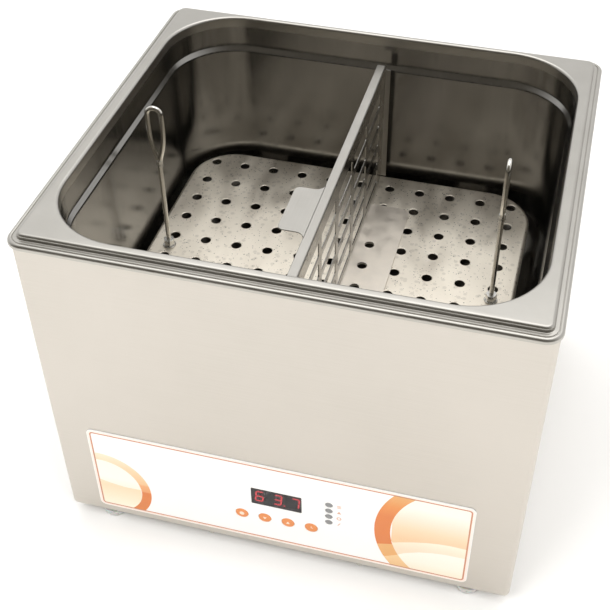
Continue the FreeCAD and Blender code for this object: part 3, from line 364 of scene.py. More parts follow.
outside = [wrap_row(0, case_high.z - 0.2 * MM)]
for turn in quarter(6):
    outside.append(wrap_row(FOLD_ROUND * (1 - math.cos(turn)),
                            case_low.z + FOLD_ROUND * (1 - math.sin(turn)) * MM))
outside.append(wrap_row(UNDER_FOLD, case_low.z))
inside_rows = [wrap_row(UNDER_FOLD, case_low.z + SHEET_GAUGE * MM)]
for turn in reversed(quarter(6)):
    inner_round = FOLD_ROUND - SHEET_GAUGE
    inside_rows.append(wrap_row(SHEET_GAUGE + inner_round * (1 - math.cos(turn)),
                                case_low.z + (SHEET_GAUGE + inner_round * (1 - math.sin(turn))) * MM))
inside_rows += [wrap_row(SHEET_GAUGE, case_high.z - 0.2 * MM), wrap_row(0.8, case_high.z),
                wrap_row(0.2, case_high.z), outside[0]]
case_rows = outside + inside_rows
count = len(case_rows[0])
case_points = [point for row in case_rows for point in row]
case_faces = [(i * count + k, i * count + k + 1, (i + 1) * count + k + 1, (i + 1) * count + k)
              for i in range(len(case_rows) - 1) for k in range(count - 1)]
ring = len(case_rows) - 1
case_faces += [tuple(i * count for i in range(ring)), tuple(i * count + count - 1 for i in range(ring))]
outer_case = mesh_piece("outer_case_skin", case_points, case_faces)


def turned(name, place, axis, radius, length, steps=40):
    """A plain round cutter or core along an axis, centred at place."""
    shape = bmesh.new()
    bmesh.ops.create_cone(shape, cap_ends=True, segments=steps, radius1=radius, radius2=radius,
                          depth=length)
    shape.transform(Matrix.Translation(place) @
                    Vector(axis).to_track_quat("Z", "Y").to_matrix().to_4x4())
    return mesh_of(name, shape)


def block(name, place, sizes):
    """A plain box cutter, centred at place."""
    shape = bmesh.new()
    bmesh.ops.create_cube(shape, size=1)
    shape.transform(Matrix.Translation(place) @ Matrix.Diagonal((*sizes, 1)))
    return mesh_of(name, shape)


def frozen(piece):
    """Turn a piece's live modifiers into plain mesh."""
    graph = bpy.context.evaluated_depsgraph_get()
    mesh = bpy.data.meshes.new_from_object(piece.evaluated_get(graph))
    piece.modifiers.clear()
    piece.data = mesh
    return piece


def cut_away(piece, cutter_meshes):
    """Cut each mesh out of a piece, one exact difference after another."""
    for mesh in cutter_meshes:
        cutter = placed("cutter", mesh)
        cutting = piece.modifiers.new("cut", "BOOLEAN")
        cutting.object = cutter
        cutting.solver = "EXACT"
        frozen(piece)
        bpy.data.objects.remove(cutter)
    return creased(piece)


def middle_of(node):
    """The middle of a node's box."""
    low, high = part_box(node)
    return (low + high) / 2


KEYS = ("set_key", "down_key", "up_key", "timer_key")
front = case_low.y
KEY_HOLE, CUT_DEEP, WINDOW_MARGIN = 5.5 * MM, 12 * MM, 1.8 * MM
cutters = []
for key in KEYS:
    middle = middle_of(key)
    cutters.append(turned(key + "_hole", (middle.x, front, middle.z), (0, 1, 0), KEY_HOLE, CUT_DEEP))
window_low, window_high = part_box("display_window")
middle = middle_of("display_window")
cutters.append(block("window_hole", (middle.x, front, middle.z),
                     (window_high.x - window_low.x - WINDOW_MARGIN, CUT_DEEP,
                      window_high.z - window_low.z - WINDOW_MARGIN)))
cut_away(outer_case, cutters)

# Stainless, brushed: fine scratches all run level. Real ones are under 0.1 mm apart; they are drawn
# 0.5 mm apart so that they show. Broad faint patches keep the sheet from looking printed.
brushed, tree, shader = new_surface("stainless_brushed_case_sheet", {"Metallic": 1.0})
place = add_node(tree, "ShaderNodeTexCoord").outputs["Object"]
SCRATCH_MM, SCRATCH_LONG_MM, PATCH_MM = 0.5, 70, 90
stretch = add_node(tree, "ShaderNodeMapping",
                   {"Vector": place,
                    "Scale": (1 / (SCRATCH_LONG_MM * MM), 1 / (SCRATCH_LONG_MM * MM),
                              1 / (SCRATCH_MM * MM))})
scratches = add_node(tree, "ShaderNodeTexNoise",
                     {"Vector": stretch.outputs[0], "Scale": 1.0, "Detail": 4.0, "Roughness": 0.65})
patches = add_node(tree, "ShaderNodeTexNoise",
                   {"Vector": place, "Scale": 1 / (PATCH_MM * MM), "Detail": 3.0})
streak_tone = add_node(tree, "ShaderNodeMix",
                       {0: scratches.outputs[0], 6: tone("#B6AFA4"), 7: tone("#DAD6CF")},
                       data_type="RGBA")
patch_tone = add_node(tree, "ShaderNodeMix",
                      {0: patches.outputs[0], 6: streak_tone.outputs[2], 7: tone("#D2CCC4")},
                      data_type="RGBA")
tree.links.new(patch_tone.outputs[2], shader.inputs["Base Color"])
rough = add_node(tree, "ShaderNodeMapRange", {0: scratches.outputs[0], 1: 0.3, 2: 0.7, 3: 0.36, 4: 0.5})
tree.links.new(rough.outputs[0], shader.inputs["Roughness"])
relief = add_node(tree, "ShaderNodeBump",
                  {"Height": scratches.outputs[0], "Strength": 0.15, "Distance": 0.03 * MM})
tree.links.new(relief.outputs[0], shader.inputs["Normal"])
dress(outer_case, "bath", brushed, ["outer_case"])

# ------------------------------------------------------------------------------------------------
# Rim seal, rear panel, base plate and the brackets. A black silicone cord fills the joint between the
# pressing and the case; the flat parts are laser-cut stainless sheet with their edges just broken.
LOOSE, FLAT_DEGREES, EDGE_DEGREES = 0.001 * MM, 1, 35


def merged_node(node):
    """A shape copied from a CAD node, its loose triangles merged."""
    shape = bmesh.new()
    shape.from_mesh(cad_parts[node].data)
    bmesh.ops.remove_doubles(shape, verts=shape.verts, dist=LOOSE)
    return shape


def softened(name, node, width):
    """A copy of a CAD node with merged faces and its edges broken by a small round."""
    shape = merged_node(node)
    bmesh.ops.dissolve_limit(shape, angle_limit=math.radians(FLAT_DEGREES), verts=shape.verts,
                             edges=shape.edges)
    piece = placed(name, mesh_of(name, shape))
    piece.data.shade_smooth()
    edge = piece.modifiers.new("broken_edge", "BEVEL")
    edge.width = width * MM
    edge.segments = 2
    edge.limit_method = "ANGLE"
    edge.angle_limit = math.radians(EDGE_DEGREES)
    edge.use_clamp_overlap = True
    edge.harden_normals = True
    return piece


def plain_finish(name, low, high, grain_mm, rough_low, rough_high, relief_mm=0.0, **shader_inputs):
    """A finish whose colour, roughness and height all vary with one fine grain."""
    extra = {key.replace("_", " "): value for key, value in shader_inputs.items()}
    finish, tree, shader = new_surface(name, extra)
    place = add_node(tree, "ShaderNodeTexCoord").outputs["Object"]
    grain = add_node(tree, "ShaderNodeTexNoise",
                     {"Vector": place, "Scale": 1 / (grain_mm * MM), "Detail": 3.0})
    colour = add_node(tree, "ShaderNodeMix", {0: grain.outputs[0], 6: tone(low), 7: tone(high)},
                      data_type="RGBA")
    tree.links.new(colour.outputs[2], shader.inputs["Base Color"])
    rough = add_node(tree, "ShaderNodeMapRange",
                     {0: grain.outputs[0], 1: 0.3, 2: 0.7, 3: rough_low, 4: rough_high})
    tree.links.new(rough.outputs[0], shader.inputs["Roughness"])
    if relief_mm:
        relief = add_node(tree, "ShaderNodeBump",
                          {"Height": grain.outputs[0], "Strength": 0.5, "Distance": relief_mm * MM})
        tree.links.new(relief.outputs[0], shader.inputs["Normal"])
    return finish


def carry_over(finish, *nodes):
    """Give CAD nodes whose shape is right their finish."""
    for node in nodes:
        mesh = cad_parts[node].data
        mesh.materials.clear()
        mesh.materials.append(finish)


# Black silicone cord: matt, slightly dusty.
seal_black = plain_finish("silicone_cord_black", "#1E1D1B", "#2B2A27", 1.5, 0.55, 0.7, 0.02)
carry_over(seal_black, "rim_seal")
dress(softened("rear_panel_sheet", "rear_panel", 0.25), "bath", brushed, ["rear_panel"])
carry_over(brushed, "base_plate")
# Mill-finish stainless brackets: grey, faintly cloudy.
mill_steel = plain_finish("stainless_mill_finish_bracket", "#B4B0A8", "#C8C5BE", 6, 0.32, 0.45,
                          Metallic=1.0)
carry_over(mill_steel, "tank_brackets")

# ------------------------------------------------------------------------------------------------
# Screws, screw heads and feet. Pan-head stainless screws with a cross recess hold the rear panel, and
# each translucent rubber foot has a screw up through its middle.


def lathed(name, profile, steps=32):
    """A closed turned part about Z from (radius, height) pairs in mm, lowest first along its outside."""
    rows = [[(r * MM * math.cos(2 * math.pi * k / steps), r * MM * math.sin(2 * math.pi * k / steps),
              z * MM) for k in range(steps)] for r, z in profile]
    return skin(name, rows)


copy_tree = bpy.data.node_groups.new("copies_set_out", "GeometryNodeTree")
copy_sockets = {}
for label, kind in (("Places", "NodeSocketGeometry"), ("Part", "NodeSocketObject"),
                    ("Finish", "NodeSocketMaterial"), ("Lay", "NodeSocketVector"),
                    ("Spin", "NodeSocketFloat"), ("Seed", "NodeSocketInt")):
    copy_sockets[label] = copy_tree.interface.new_socket(label, in_out="INPUT",
                                                         socket_type=kind).identifier
copy_tree.interface.new_socket("Copies", in_out="OUTPUT", socket_type="NodeSocketGeometry")
given = add_node(copy_tree, "NodeGroupInput")
part = add_node(copy_tree, "GeometryNodeObjectInfo", {"Object": given.outputs["Part"]})
about = add_node(copy_tree, "FunctionNodeRandomValue",
                 {2: 0.0, 3: given.outputs["Spin"], "Seed": given.outputs["Seed"]}, data_type="FLOAT")
spin = add_node(copy_tree, "ShaderNodeCombineXYZ", {2: about.outputs[1]})
turned_part = add_node(copy_tree, "GeometryNodeInstanceOnPoints",
                       {"Points": given.outputs["Places"], "Instance": part.outputs["Geometry"],
                        "Rotation": given.outputs["Lay"]})
spun = add_node(copy_tree, "GeometryNodeRotateInstances",
                {"Instances": turned_part.outputs[0], "Rotation": spin.outputs[0]})
real = add_node(copy_tree, "GeometryNodeRealizeInstances", {0: spun.outputs[0]})
finished = add_node(copy_tree, "GeometryNodeSetMaterial",
                    {"Geometry": real.outputs[0], "Material": given.outputs["Finish"]})
add_node(copy_tree, "NodeGroupOutput", {0: finished.outputs[0]})


def set_out(name, part, places, finish, lay=(0, 0, 0), spin=0.0, seed=1):
    """Copies of a part, one at each place, laid over by lay and each spun about its own axis."""
    mesh = bpy.data.meshes.new(name)
    mesh.from_pydata([tuple(place) for place in places], [], [])
    copies = placed(name, mesh)
    setting = copies.modifiers.new("copies", "NODES")
    setting.node_group = copy_tree
    for label, value in (("Part", part), ("Finish", finish), ("Lay", lay), ("Spin", spin),
                         ("Seed", seed)):
        setting[copy_sockets[label]] = value
    frozen(copies)
    bpy.data.objects.remove(part)
    return copies


def solids_of(node, count):
    """The lowest and highest corners of a node's separate solids, in order from low x, then low y."""
    shape = merged_node(node)
    seen, found = set(), []
    for start in shape.verts:
        if start in seen:
            continue
        stack, low, high = [start], start.co.copy(), start.co.copy()
        seen.add(start)
        while stack:
            vert = stack.pop()
            low = Vector(map(min, low, vert.co))
            high = Vector(map(max, high, vert.co))
            for edge in vert.link_edges:
                other = edge.other_vert(vert)
                if other not in seen:
                    seen.add(other)
                    stack.append(other)
        found.append((low, high))
    shape.free()
    if len(found) != count:
        raise RuntimeError(f"{node} has {len(found)} solids, not {count}")
    return sorted(found,
                  key=lambda ends: (round(ends[0].x, 5), round(ends[0].y, 5), round(ends[0].z, 5)))


def seats_of(node, count, axis):
    """Where each solid of a node sits: its middle, at its lowest end along an axis."""
    seats = []
    for low, high in solids_of(node, count):
        seat = (low + high) / 2
        seat[axis] = low[axis]
        seats.append(seat)
    return seats


FACING_REAR = {"lay": (-math.pi / 2, 0, 0), "spin": math.pi / 2}


def pan_head(name, radius, height, recess):
    """A pan-head screw seen from outside: domed head with a cross recess, along +Z from its seat."""
    dome = [(radius * (1 - 0.28 * (1 - math.cos(t))), height * (0.35 + 0.5 * math.sin(t)))
            for t in quarter(4)]
    dome = [(radius, 0)] + dome[:-1] + [(radius * 0.62, height * 0.93), (radius * 0.3, height)]
    head = lathed(name, dome, 28)
    arm = recess * 0.26
    cross = [block("recess", (0, 0, height * MM), (length * MM, width * MM, height * 1.1 * MM))
             for length, width in ((recess, arm), (arm, recess))]
    return cut_away(head, cross)


# Stainless screws, cold headed: bright, with a fine turned grain.
bright_steel = plain_finish("stainless_screw_bright", "#C9C7C2", "#E2E0DB", 0.6, 0.18, 0.32, 0.01,
                            Metallic=1.0)
low, high = solids_of("rear_screws", 8)[0]
head_wide, head_tall = (high.x - low.x) / 2 / MM, (high.y - low.y) / MM
rear_heads = set_out("rear_panel_screws", pan_head("screw", head_wide, head_tall, 3.6),
                     seats_of("rear_screws", 8, 1), bright_steel, seed=4, **FACING_REAR)
dress(rear_heads, "bath", bright_steel, ["rear_screws"])
carry_over(bright_steel, "foot_screws", "base_screws", "bracket_screws")

foot_low, foot_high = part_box("rubber_feet")
foot_tall = (foot_high.z - foot_low.z) / MM
BORE, SCREW_HOLE = 4.4, 2.2
foot_line = [(BORE, foot_tall * 0.55), (BORE, 0.8), (BORE + 0.4, 0.2), (BORE + 1, 0), (7.2, 0),
             (8.2, 0.25), (8.9, 0.9), (9.3, 1.9), (9.55, 3.2), (9.9, 5.6), (10, 6.2), (9.9, 6.7),
             (9.6, foot_tall), (SCREW_HOLE, foot_tall), (SCREW_HOLE, foot_tall * 0.55)]
foot = lathed("foot", foot_line, 40)
# Natural rubber, moulded: milky and a little see-through, so light shows inside the edge.
milky_rubber = plain_finish("rubber_moulded_translucent", "#E4E4E2", "#F4F4F2", 3, 0.25, 0.38, 0.02,
                            Transmission_Weight=0.35, IOR=1.52, Subsurface_Weight=0.3,
                            Subsurface_Scale=0.004)
feet = set_out("rubber_feet_moulded", foot, seats_of("rubber_feet", 4, 2), milky_rubber)
dress(feet, "bath", milky_rubber, ["rubber_feet"])

# ------------------------------------------------------------------------------------------------
# Control overlay. A polyester film, printed from behind in white with an orange hairline border and
# two orange rings, each over a shaded disc; it is stuck to the case front.
film_low, film_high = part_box("control_overlay")
film_face = film_low.y
LAYER, INK_SINK = 0.03 * MM, 0.02 * MM

# Polyester film, white behind, fine matt texture: an even soft sheen.
white_film = plain_finish("polyester_film_white", "#FBFAF8", "#FEFEFD", 0.7, 0.34, 0.42, 0.008,
                          Coat_Weight=0.25, Coat_Roughness=0.2)
dress(softened("control_overlay_film", "control_overlay", 0.25), "bath", white_film,
      ["control_overlay"])


def thickened(shape, way):
    """Give flat faces a thickness: their back is moved by way and their sides are closed."""
    grown = bmesh.ops.extrude_face_region(shape, geom=shape.faces[:])
    bmesh.ops.translate(shape, verts=[v for v in grown["geom"] if isinstance(v, bmesh.types.BMVert)],
                        vec=way)
    bmesh.ops.recalc_face_normals(shape, faces=shape.faces)


def inlay(name, faces, layer, finish, body="bath", face=None, clip=None):
    """A printed area: flat faces given as (x, z) points in mm, a hair proud of the face behind."""
    level = (film_face if face is None else face) - layer * LAYER
    shape = bmesh.new()
    for points in faces:
        shape.faces.new([shape.verts.new((x * MM, level, z * MM)) for x, z in points])
    bmesh.ops.remove_doubles(shape, verts=shape.verts, dist=0.003 * MM)
    for axis, limit, side in clip or ():
        normal, point = Vector((0, 0, 0)), Vector((0, 0, 0))
        normal[axis], point[axis] = side, limit * MM
        bmesh.ops.bisect_plane(shape, geom=shape.verts[:] + shape.edges[:] + shape.faces[:],
                               plane_co=point, plane_no=normal, clear_outer=True)
    bmesh.ops.recalc_face_normals(shape, faces=shape.faces)
    thickened(shape, (0, layer * LAYER + INK_SINK, 0))
    return dress(placed(name, mesh_of(name, shape)), body, finish, ())


def band(outer, inner):
    """Faces between two loops that have the same count."""
    count = len(outer)
    return [(outer[i], outer[(i + 1) % count], inner[(i + 1) % count], inner[i]) for i in range(count)]


def arc_band(centre, radii, start, end, steps=48):
    """Faces of part of a ring, angles in degrees."""
    turn = [math.radians(start + (end - start) * i / steps) for i in range(steps + 1)]
    loops = [[(centre[0] + r * math.cos(a), centre[1] + r * math.sin(a)) for a in turn] for r in radii]
    return [(loops[0][i], loops[0][i + 1], loops[1][i + 1], loops[1][i]) for i in range(steps)]


def ink(name, stops):
    """Printed ink whose colour changes with height: (height in mm, hex) pairs, lowest first."""
    finish, tree, shader = new_surface(name,
                                       {"Roughness": 0.38, "Coat Weight": 0.25, "Coat Roughness": 0.2})
    place = add_node(tree, "ShaderNodeTexCoord").outputs["Object"]
    height = add_node(tree, "ShaderNodeSeparateXYZ", {0: place}).outputs["Z"]
    low, high = stops[0][0], stops[-1][0]
    share = add_node(tree, "ShaderNodeMapRange", {0: height, 1: low * MM, 2: high * MM})
    ramp = add_node(tree, "ShaderNodeValToRGB", {0: share.outputs[0]})
    ramp.color_ramp.elements[0].color = tone(stops[0][1])
    ramp.color_ramp.elements[1].color = tone(stops[-1][1])
    for level, code in stops[1:-1]:
        ramp.color_ramp.elements.new((level - low) / (high - low)).color = tone(code)
    dots = add_node(tree, "ShaderNodeTexNoise",
                    {"Vector": place, "Scale": 1 / (0.5 * MM), "Detail": 2.0})
    strength = add_node(tree, "ShaderNodeMapRange", {0: dots.outputs[0], 1: 0.3, 2: 0.7, 3: 0.98, 4: 1.02})
    worn = add_node(tree, "ShaderNodeHueSaturation",
                    {"Color": ramp.outputs[0], "Value": strength.outputs[0]})
    tree.links.new(worn.outputs[0], shader.inputs["Base Color"])
    return finish


def frame_loop(inset, radius):
    """A loop round the film, in mm, inset from its edge."""
    low = (film_low.x / MM + inset, film_low.z / MM + inset)
    high = (film_high.x / MM - inset, film_high.z / MM - inset)
    return rounded_loop(low, high, radius, 8)


blush = ink("print_blush_margin", ((15, "#FBE9DF"), (110, "#FCEFE6")))
rust = ink("print_rust_hairline", ((15, "#CE8A68"), (110, "#CB8967")))
inlay("overlay_margin", band(frame_loop(0.35, 4.2), frame_loop(2.4, 2.6)), 1, blush)
inlay("overlay_hairline", band(frame_loop(2.15, 2.8), frame_loop(3.3, 1.9)), 2, rust)
LINE_INSET = 3.1
LEFT_EDGE, RIGHT_EDGE = film_low.x / MM + LINE_INSET, film_high.x / MM - LINE_INSET
LOW_EDGE, HIGH_EDGE = film_low.z / MM + LINE_INSET, film_high.z / MM - LINE_INSET
inside_line = ((0, LEFT_EDGE, -1), (0, RIGHT_EDGE, 1), (2, LOW_EDGE, -1), (2, HIGH_EDGE, 1))


def disc_columns(centre, radius, across, lower, upper, steps=48):
    """Columns of a disc between two curves of (x, z) points."""
    def at(curve, x):
        """The curve's height at x."""
        for (x0, z0), (x1, z1) in zip(curve, curve[1:]):
            if x <= x1:
                return z0 + (z1 - z0) * max(x - x0, 0) / (x1 - x0)
        return curve[-1][1]
    faces, before = [], None
    for i in range(steps + 1):
        x = across[0] + (across[1] - across[0]) * i / steps
        half = math.sqrt(max(radius ** 2 - (x - centre[0]) ** 2, 0))
        low = max(centre[1] - half, at(lower, x))
        high = min(centre[1] + half, at(upper, x))
        now = (x, low, high) if high > low + 0.01 else None
        if now and before:
            faces.append(((before[0], before[1]), (now[0], now[1]), (now[0], now[2]),
                          (before[0], before[2])))
        before = now
    return faces


right_ring, right_radii = (142.6, 64.0), (71.4, 59.5)
left_ring, left_radii = (-142.5, 44.5), (38.3, 30.6)
floor_line, roof_line = ((-200, 0), (200, 0)), ((-200, 200), (200, 200))
wave_high = ((76, 44), (81, 48), (90, 51.8), (100, 55.3), (110, 58.2), (120, 60), (128, 60.6),
             (143, 60.2))
wave_low = ((83, 31), (90, 36.5), (95, 40), (105, 44.6), (115, 47.2), (125, 48.6), (143, 48.8))
right_zones = (("shade", wave_high, roof_line,
                ((44, "#F0CC9C"), (58, "#F3CDA2"), (70, "#F5DAB6"), (84, "#F9EAD6"), (96, "#FBF8EC"))),
               ("crest", wave_low, wave_high,
                ((32, "#F6DCC0"), (44, "#F6E0C4"), (54, "#F8EBD3"), (60, "#F8F1DC"))),
               ("foot", floor_line, wave_low, ((20, "#F9EBD2"), (32, "#FAF5E4"), (48, "#FBF8EC"))))
for label, lower, upper, stops in right_zones:
    inlay("right_disc_" + label,
          disc_columns(right_ring, right_radii[1] + 0.1, (83, RIGHT_EDGE), lower, upper), 1,
          ink("print_peach_" + label, stops), clip=inside_line)
for label, start, end, stops in (("top", 120, 195.7,
                                  ((40, "#DF7C36"), (80, "#E07E38"), (92, "#E89248"),
                                   (105, "#E9AD6C"))),
                                 ("waist", 195.7, 208, ((30, "#E9AA64"), (50, "#EAAF6B"))),
                                 ("base", 208, 238, ((18, "#EDBB80"), (36, "#F4CD98")))):
    inlay("right_ring_" + label, arc_band(right_ring, right_radii, start, end), 2,
          ink("print_orange_" + label, stops), clip=inside_line)
slope = ((-147, 51.5), (-138, 49), (-125, 47), (-110, 47.5))
for label, lower, upper, stops in (("sky", slope, roof_line,
                                    ((46, "#FBF3E2"), (56, "#FBF9EE"), (80, "#FBF8E9"))),
                                   ("ground", floor_line, slope,
                                    ((22, "#FAF4DE"), (34, "#F9E9CB"), (46, "#F7DDB9"),
                                     (51, "#F8E2C2")))):
    inlay("left_disc_" + label,
          disc_columns(left_ring, left_radii[1] + 0.1, (LEFT_EDGE, -111.6), lower, upper), 1,
          ink("print_cream_" + label, stops), clip=inside_line)
inlay("left_ring", arc_band(left_ring, left_radii, -60, 110, 72), 2,
      ink("print_orange_left_ring",
          ((20, "#DF8038"), (45, "#E07B33"), (46.5, "#EBA066"), (53, "#EFA96F"), (55, "#F1C28F"),
           (68, "#F2D3A8"), (83, "#F6E7CB"))), clip=inside_line)

# ------------------------------------------------------------------------------------------------
# Display. A smoked acrylic window with a black module behind it; three lit digits of seven straight
# bars each, cut to points at both ends and leaning over a little.
digit_face = window_high.y + 0.2 * MM
DIGIT_TALL, DIGIT_WIDE, BAR, BAR_GAP, LEAN = 12.0, 6.8, 1.2, 0.14, 0.1
SEGMENTS = {"a": ((0, 2), (1, 2)), "b": ((1, 1), (1, 2)), "c": ((1, 0), (1, 1)), "d": ((0, 0), (1, 0)),
            "e": ((0, 0), (0, 1)), "f": ((0, 1), (0, 2)), "g": ((0, 1), (1, 1))}


def bar_face(start, end, half):
    """A bar between two points, cut to a point at each end."""
    along = Vector(end) - Vector(start)
    length = along.length
    along.normalize()
    across = Vector((-along.y, along.x))
    spots = ((0, 0), (half, -half), (length - half, -half), (length, 0), (length - half, half),
             (half, half))
    return [tuple(Vector(start) + along * a + across * b) for a, b in spots]


def digit_faces(left, low, lit):
    """The lit bars of one digit, leaning over."""
    faces = []
    for name in lit:
        ends = []
        for column, row in SEGMENTS[name]:
            x = BAR / 2 + column * (DIGIT_WIDE - BAR)
            z = BAR / 2 + row * (DIGIT_TALL - BAR) / 2
            ends.append((x, z))
        (x0, z0), (x1, z1) = ends
        pull = Vector((x1 - x0, z1 - z0)).normalized() * BAR_GAP
        face = bar_face((x0 + pull.x, z0 + pull.y), (x1 - pull.x, z1 - pull.y), BAR / 2)
        faces.append([(left + x + LEAN * z, low + z) for x, z in face])
    return faces


digit_low = (window_low.z + window_high.z) / 2 / MM - DIGIT_TALL / 2
digits = []
for left, lit in ((-20.3, "afgcde"), (-6.3, "abgcd"), (7.2, "abc")):
    digits += digit_faces(left, digit_low, lit)
digits.append([(2.1, digit_low - 0.1), (3.4, digit_low - 0.1), (3.5, digit_low + 1.2),
               (2.2, digit_low + 1.2)])
# Lit segments: red, even, a little brighter in the middle of the grain.
lit_red, tree, shader = new_surface("display_segments_lit_red",
                                    {"Base Color": tone("#7A1418"), "Roughness": 0.5,
                                     "Emission Strength": 12.0})
glow = add_node(tree, "ShaderNodeTexNoise",
                {"Vector": add_node(tree, "ShaderNodeTexCoord").outputs["Object"],
                 "Scale": 1 / (1.2 * MM)})
glow_tone = add_node(tree, "ShaderNodeMix",
                     {0: glow.outputs[0], 6: tone("#D8242A"), 7: tone("#F04A48")}, data_type="RGBA")
tree.links.new(glow_tone.outputs[2], shader.inputs["Emission Color"])
inlay("display_digits", digits, 4, lit_red, face=digit_face)
# Black matt module face.
module_black = plain_finish("epoxy_matt_black_module", "#0C0D12", "#14161C", 1.0, 0.45, 0.6, 0.01)
carry_over(module_black, "display_module")
# Smoked acrylic, polished: nearly black with a clean gloss, see-through enough for the digits.
smoked, tree, shader = new_surface("acrylic_smoked_polished",
                                   {"IOR": 1.49, "Transmission Weight": 1.0, "Roughness": 0.03,
                                    "Specular IOR Level": 0.05})
haze = add_node(tree, "ShaderNodeTexNoise",
                {"Vector": add_node(tree, "ShaderNodeTexCoord").outputs["Object"],
                 "Scale": 1 / (9 * MM)})
smoke = add_node(tree, "ShaderNodeMix", {0: haze.outputs[0], 6: tone("#4C4854"), 7: tone("#54505C")},
                 data_type="RGBA")
tree.links.new(smoke.outputs[2], shader.inputs["Base Color"])
dress(softened("display_window_pane", "display_window", 0.2), "bath", smoked, ["display_window"])

# ------------------------------------------------------------------------------------------------
# Keys and lamps. Domed orange buttons with a lighter sign printed on each, and four grey lens caps
# with a small sign beside each. Keys move in by a fraction of a millimetre.
orange_key = plain_finish("silicone_key_orange", "#E58A4A", "#EC9857", 0.8, 0.4, 0.5, 0.01)
pale_sign = ink("print_pale_sign", ((40, "#FBE3CF"), (55, "#FCE8D6")))


def cap(name, middle, radius, face_y, depth, dome, finish, body, replaced, stem):
    """A round button facing -Y: a shallow dome with a rounded shoulder, closed, on a narrow stem."""
    shoulder = min(0.45, depth * 0.45)
    profile = [(0.6, -dome)] + [(radius * f, -dome * (1 - f * f)) for f in (0.3, 0.5, 0.7)]
    profile += [(radius - shoulder * (1 - math.sin(t)), shoulder * (1 - math.cos(t)))
                for t in quarter(4)]
    profile += [(radius, depth), (stem[0], depth), stem]
    rows = []
    for r, back in profile:
        rows.append([(middle[0] + r * MM * math.cos(2 * math.pi * k / 40), face_y + back * MM,
                      middle[1] + r * MM * math.sin(2 * math.pi * k / 40)) for k in range(40)])
    return dress(skin(name, rows), body, finish, replaced)


def ring_faces(centre, radii, steps=32):
    """Faces of a whole ring."""
    return arc_band(centre, radii, 0, 360, steps)


def fan(centre, radius, steps=24, start=0):
    """One even-sided face, a disc or a triangle."""
    return [[(centre[0] + radius * math.cos(start + 2 * math.pi * k / steps),
              centre[1] + radius * math.sin(start + 2 * math.pi * k / steps)) for k in range(steps)]]


KEY_RADIUS, KEY_CAP, KEY_DOME, STEM_RADIUS = 4.9, 1, 0.12, 2
for key in KEYS:
    low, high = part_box(key)
    middle = middle_of(key)
    cap(key + "_button", (middle.x, middle.z), KEY_RADIUS, low.y + KEY_DOME * MM, KEY_CAP - KEY_DOME,
        KEY_DOME, orange_key, key, [key],
        stem=(STEM_RADIUS, (high.y - low.y) / MM - KEY_DOME))
    cx, cz = middle.x / MM, middle.z / MM
    signs = {"set_key": fan((cx, cz), 1.9), "down_key": fan((cx, cz + 0.2), 1.7, 3, -math.pi / 2),
             "up_key": fan((cx, cz - 0.2), 1.7, 3, math.pi / 2),
             "timer_key": [bar_face((cx, cz), (cx, cz + 2.1), 0.3),
                           bar_face((cx, cz), (cx + 1.6, cz), 0.3)]}[key]
    inlay(key + "_sign", signs, 1.4, pale_sign, body=key, face=low.y)
# Grey acrylic lens caps, unlit: smooth, with a soft highlight.
grey_lens = plain_finish("acrylic_lens_smoke_grey", "#7E7F80", "#8E8F8F", 1.2, 0.12, 0.2, 0.0,
                         Coat_Weight=0.4)
lens_seats = seats_of("indicator_lenses", 4, 1)
lens_line = [(0.5, 0.0), (1.4, 0.05), (2.2, 0.16), (2.7, 0.34), (2.9, 0.6), (2.9, 0.8)]
lens = lathed("lens", lens_line)
lenses = set_out("indicator_lens_caps", lens, lens_seats, grey_lens, lay=(-math.pi / 2, 0, 0))
dress(lenses, "bath", grey_lens, ["indicator_lenses"])
SIGN_X = 44.6
sign_ink = ink("print_rust_signs", ((50, "#DDA98C"), (85, "#E0B093")))
signs = []
for seat, kind in zip(sorted(lens_seats, key=lambda p: -p.z), ("bars", "triangle", "ring", "stroke")):
    z = seat.z / MM
    signs += {"bars": [bar_face((SIGN_X - 1.6, z + d), (SIGN_X + 1.6, z + d), 0.3)
                       for d in (-1.1, 0, 1.1)],
              "triangle": fan((SIGN_X, z - 0.2), 1.9, 3, math.pi / 2),
              "ring": ring_faces((SIGN_X, z), (1.8, 1.1), 20),
              "stroke": [bar_face((SIGN_X - 0.9, z - 1.6), (SIGN_X + 1, z + 1.6), 0.35)]}[kind]
inlay("indicator_signs", signs, 1, sign_ink)

# ------------------------------------------------------------------------------------------------
# Mains inlet, fuse drawer and switch, on the rear. Black moulded thermoplastic, fixed by a flange; the
# rocker has a bar and a ring moulded in its face and tilts on its own axle.
# Moulded PA66, fine spark-eroded texture: an even soft black.
moulded_black = plain_finish("polyamide_moulded_black", "#161617", "#202021", 0.5, 0.4, 0.55, 0.02)
for name, node, width, body in (("mains_inlet_shell", "mains_inlet", 0.4, "bath"),
                                ("switch_shell", "power_switch", 0.4, "bath"),
                                ("fuse_drawer_moulding", "fuse_drawer", 0.3, "fuse_drawer"),
                                ("rocker_moulding", "power_rocker", 0.45, "power_rocker")):
    dress(softened(name, node, width), body, moulded_black, [node])
# Nickel-plated brass contact pins: pale, slightly warm and bright.
nickel = plain_finish("brass_nickel_plated_pin", "#CFC8B8", "#DDD6C6", 0.8, 0.15, 0.28, 0.0,
                      Metallic=1.0)
dress(softened("inlet_contact_pins", "inlet_pins", 0.3), "bath", nickel, ["inlet_pins"])
inlet_heads = set_out("inlet_fixing_screws", pan_head("inlet_screw", 2.9, 1.4, 3.2),
                      seats_of("inlet_screws", 2, 1), bright_steel, seed=7, **FACING_REAR)
dress(inlet_heads, "bath", bright_steel, ["inlet_screws"])
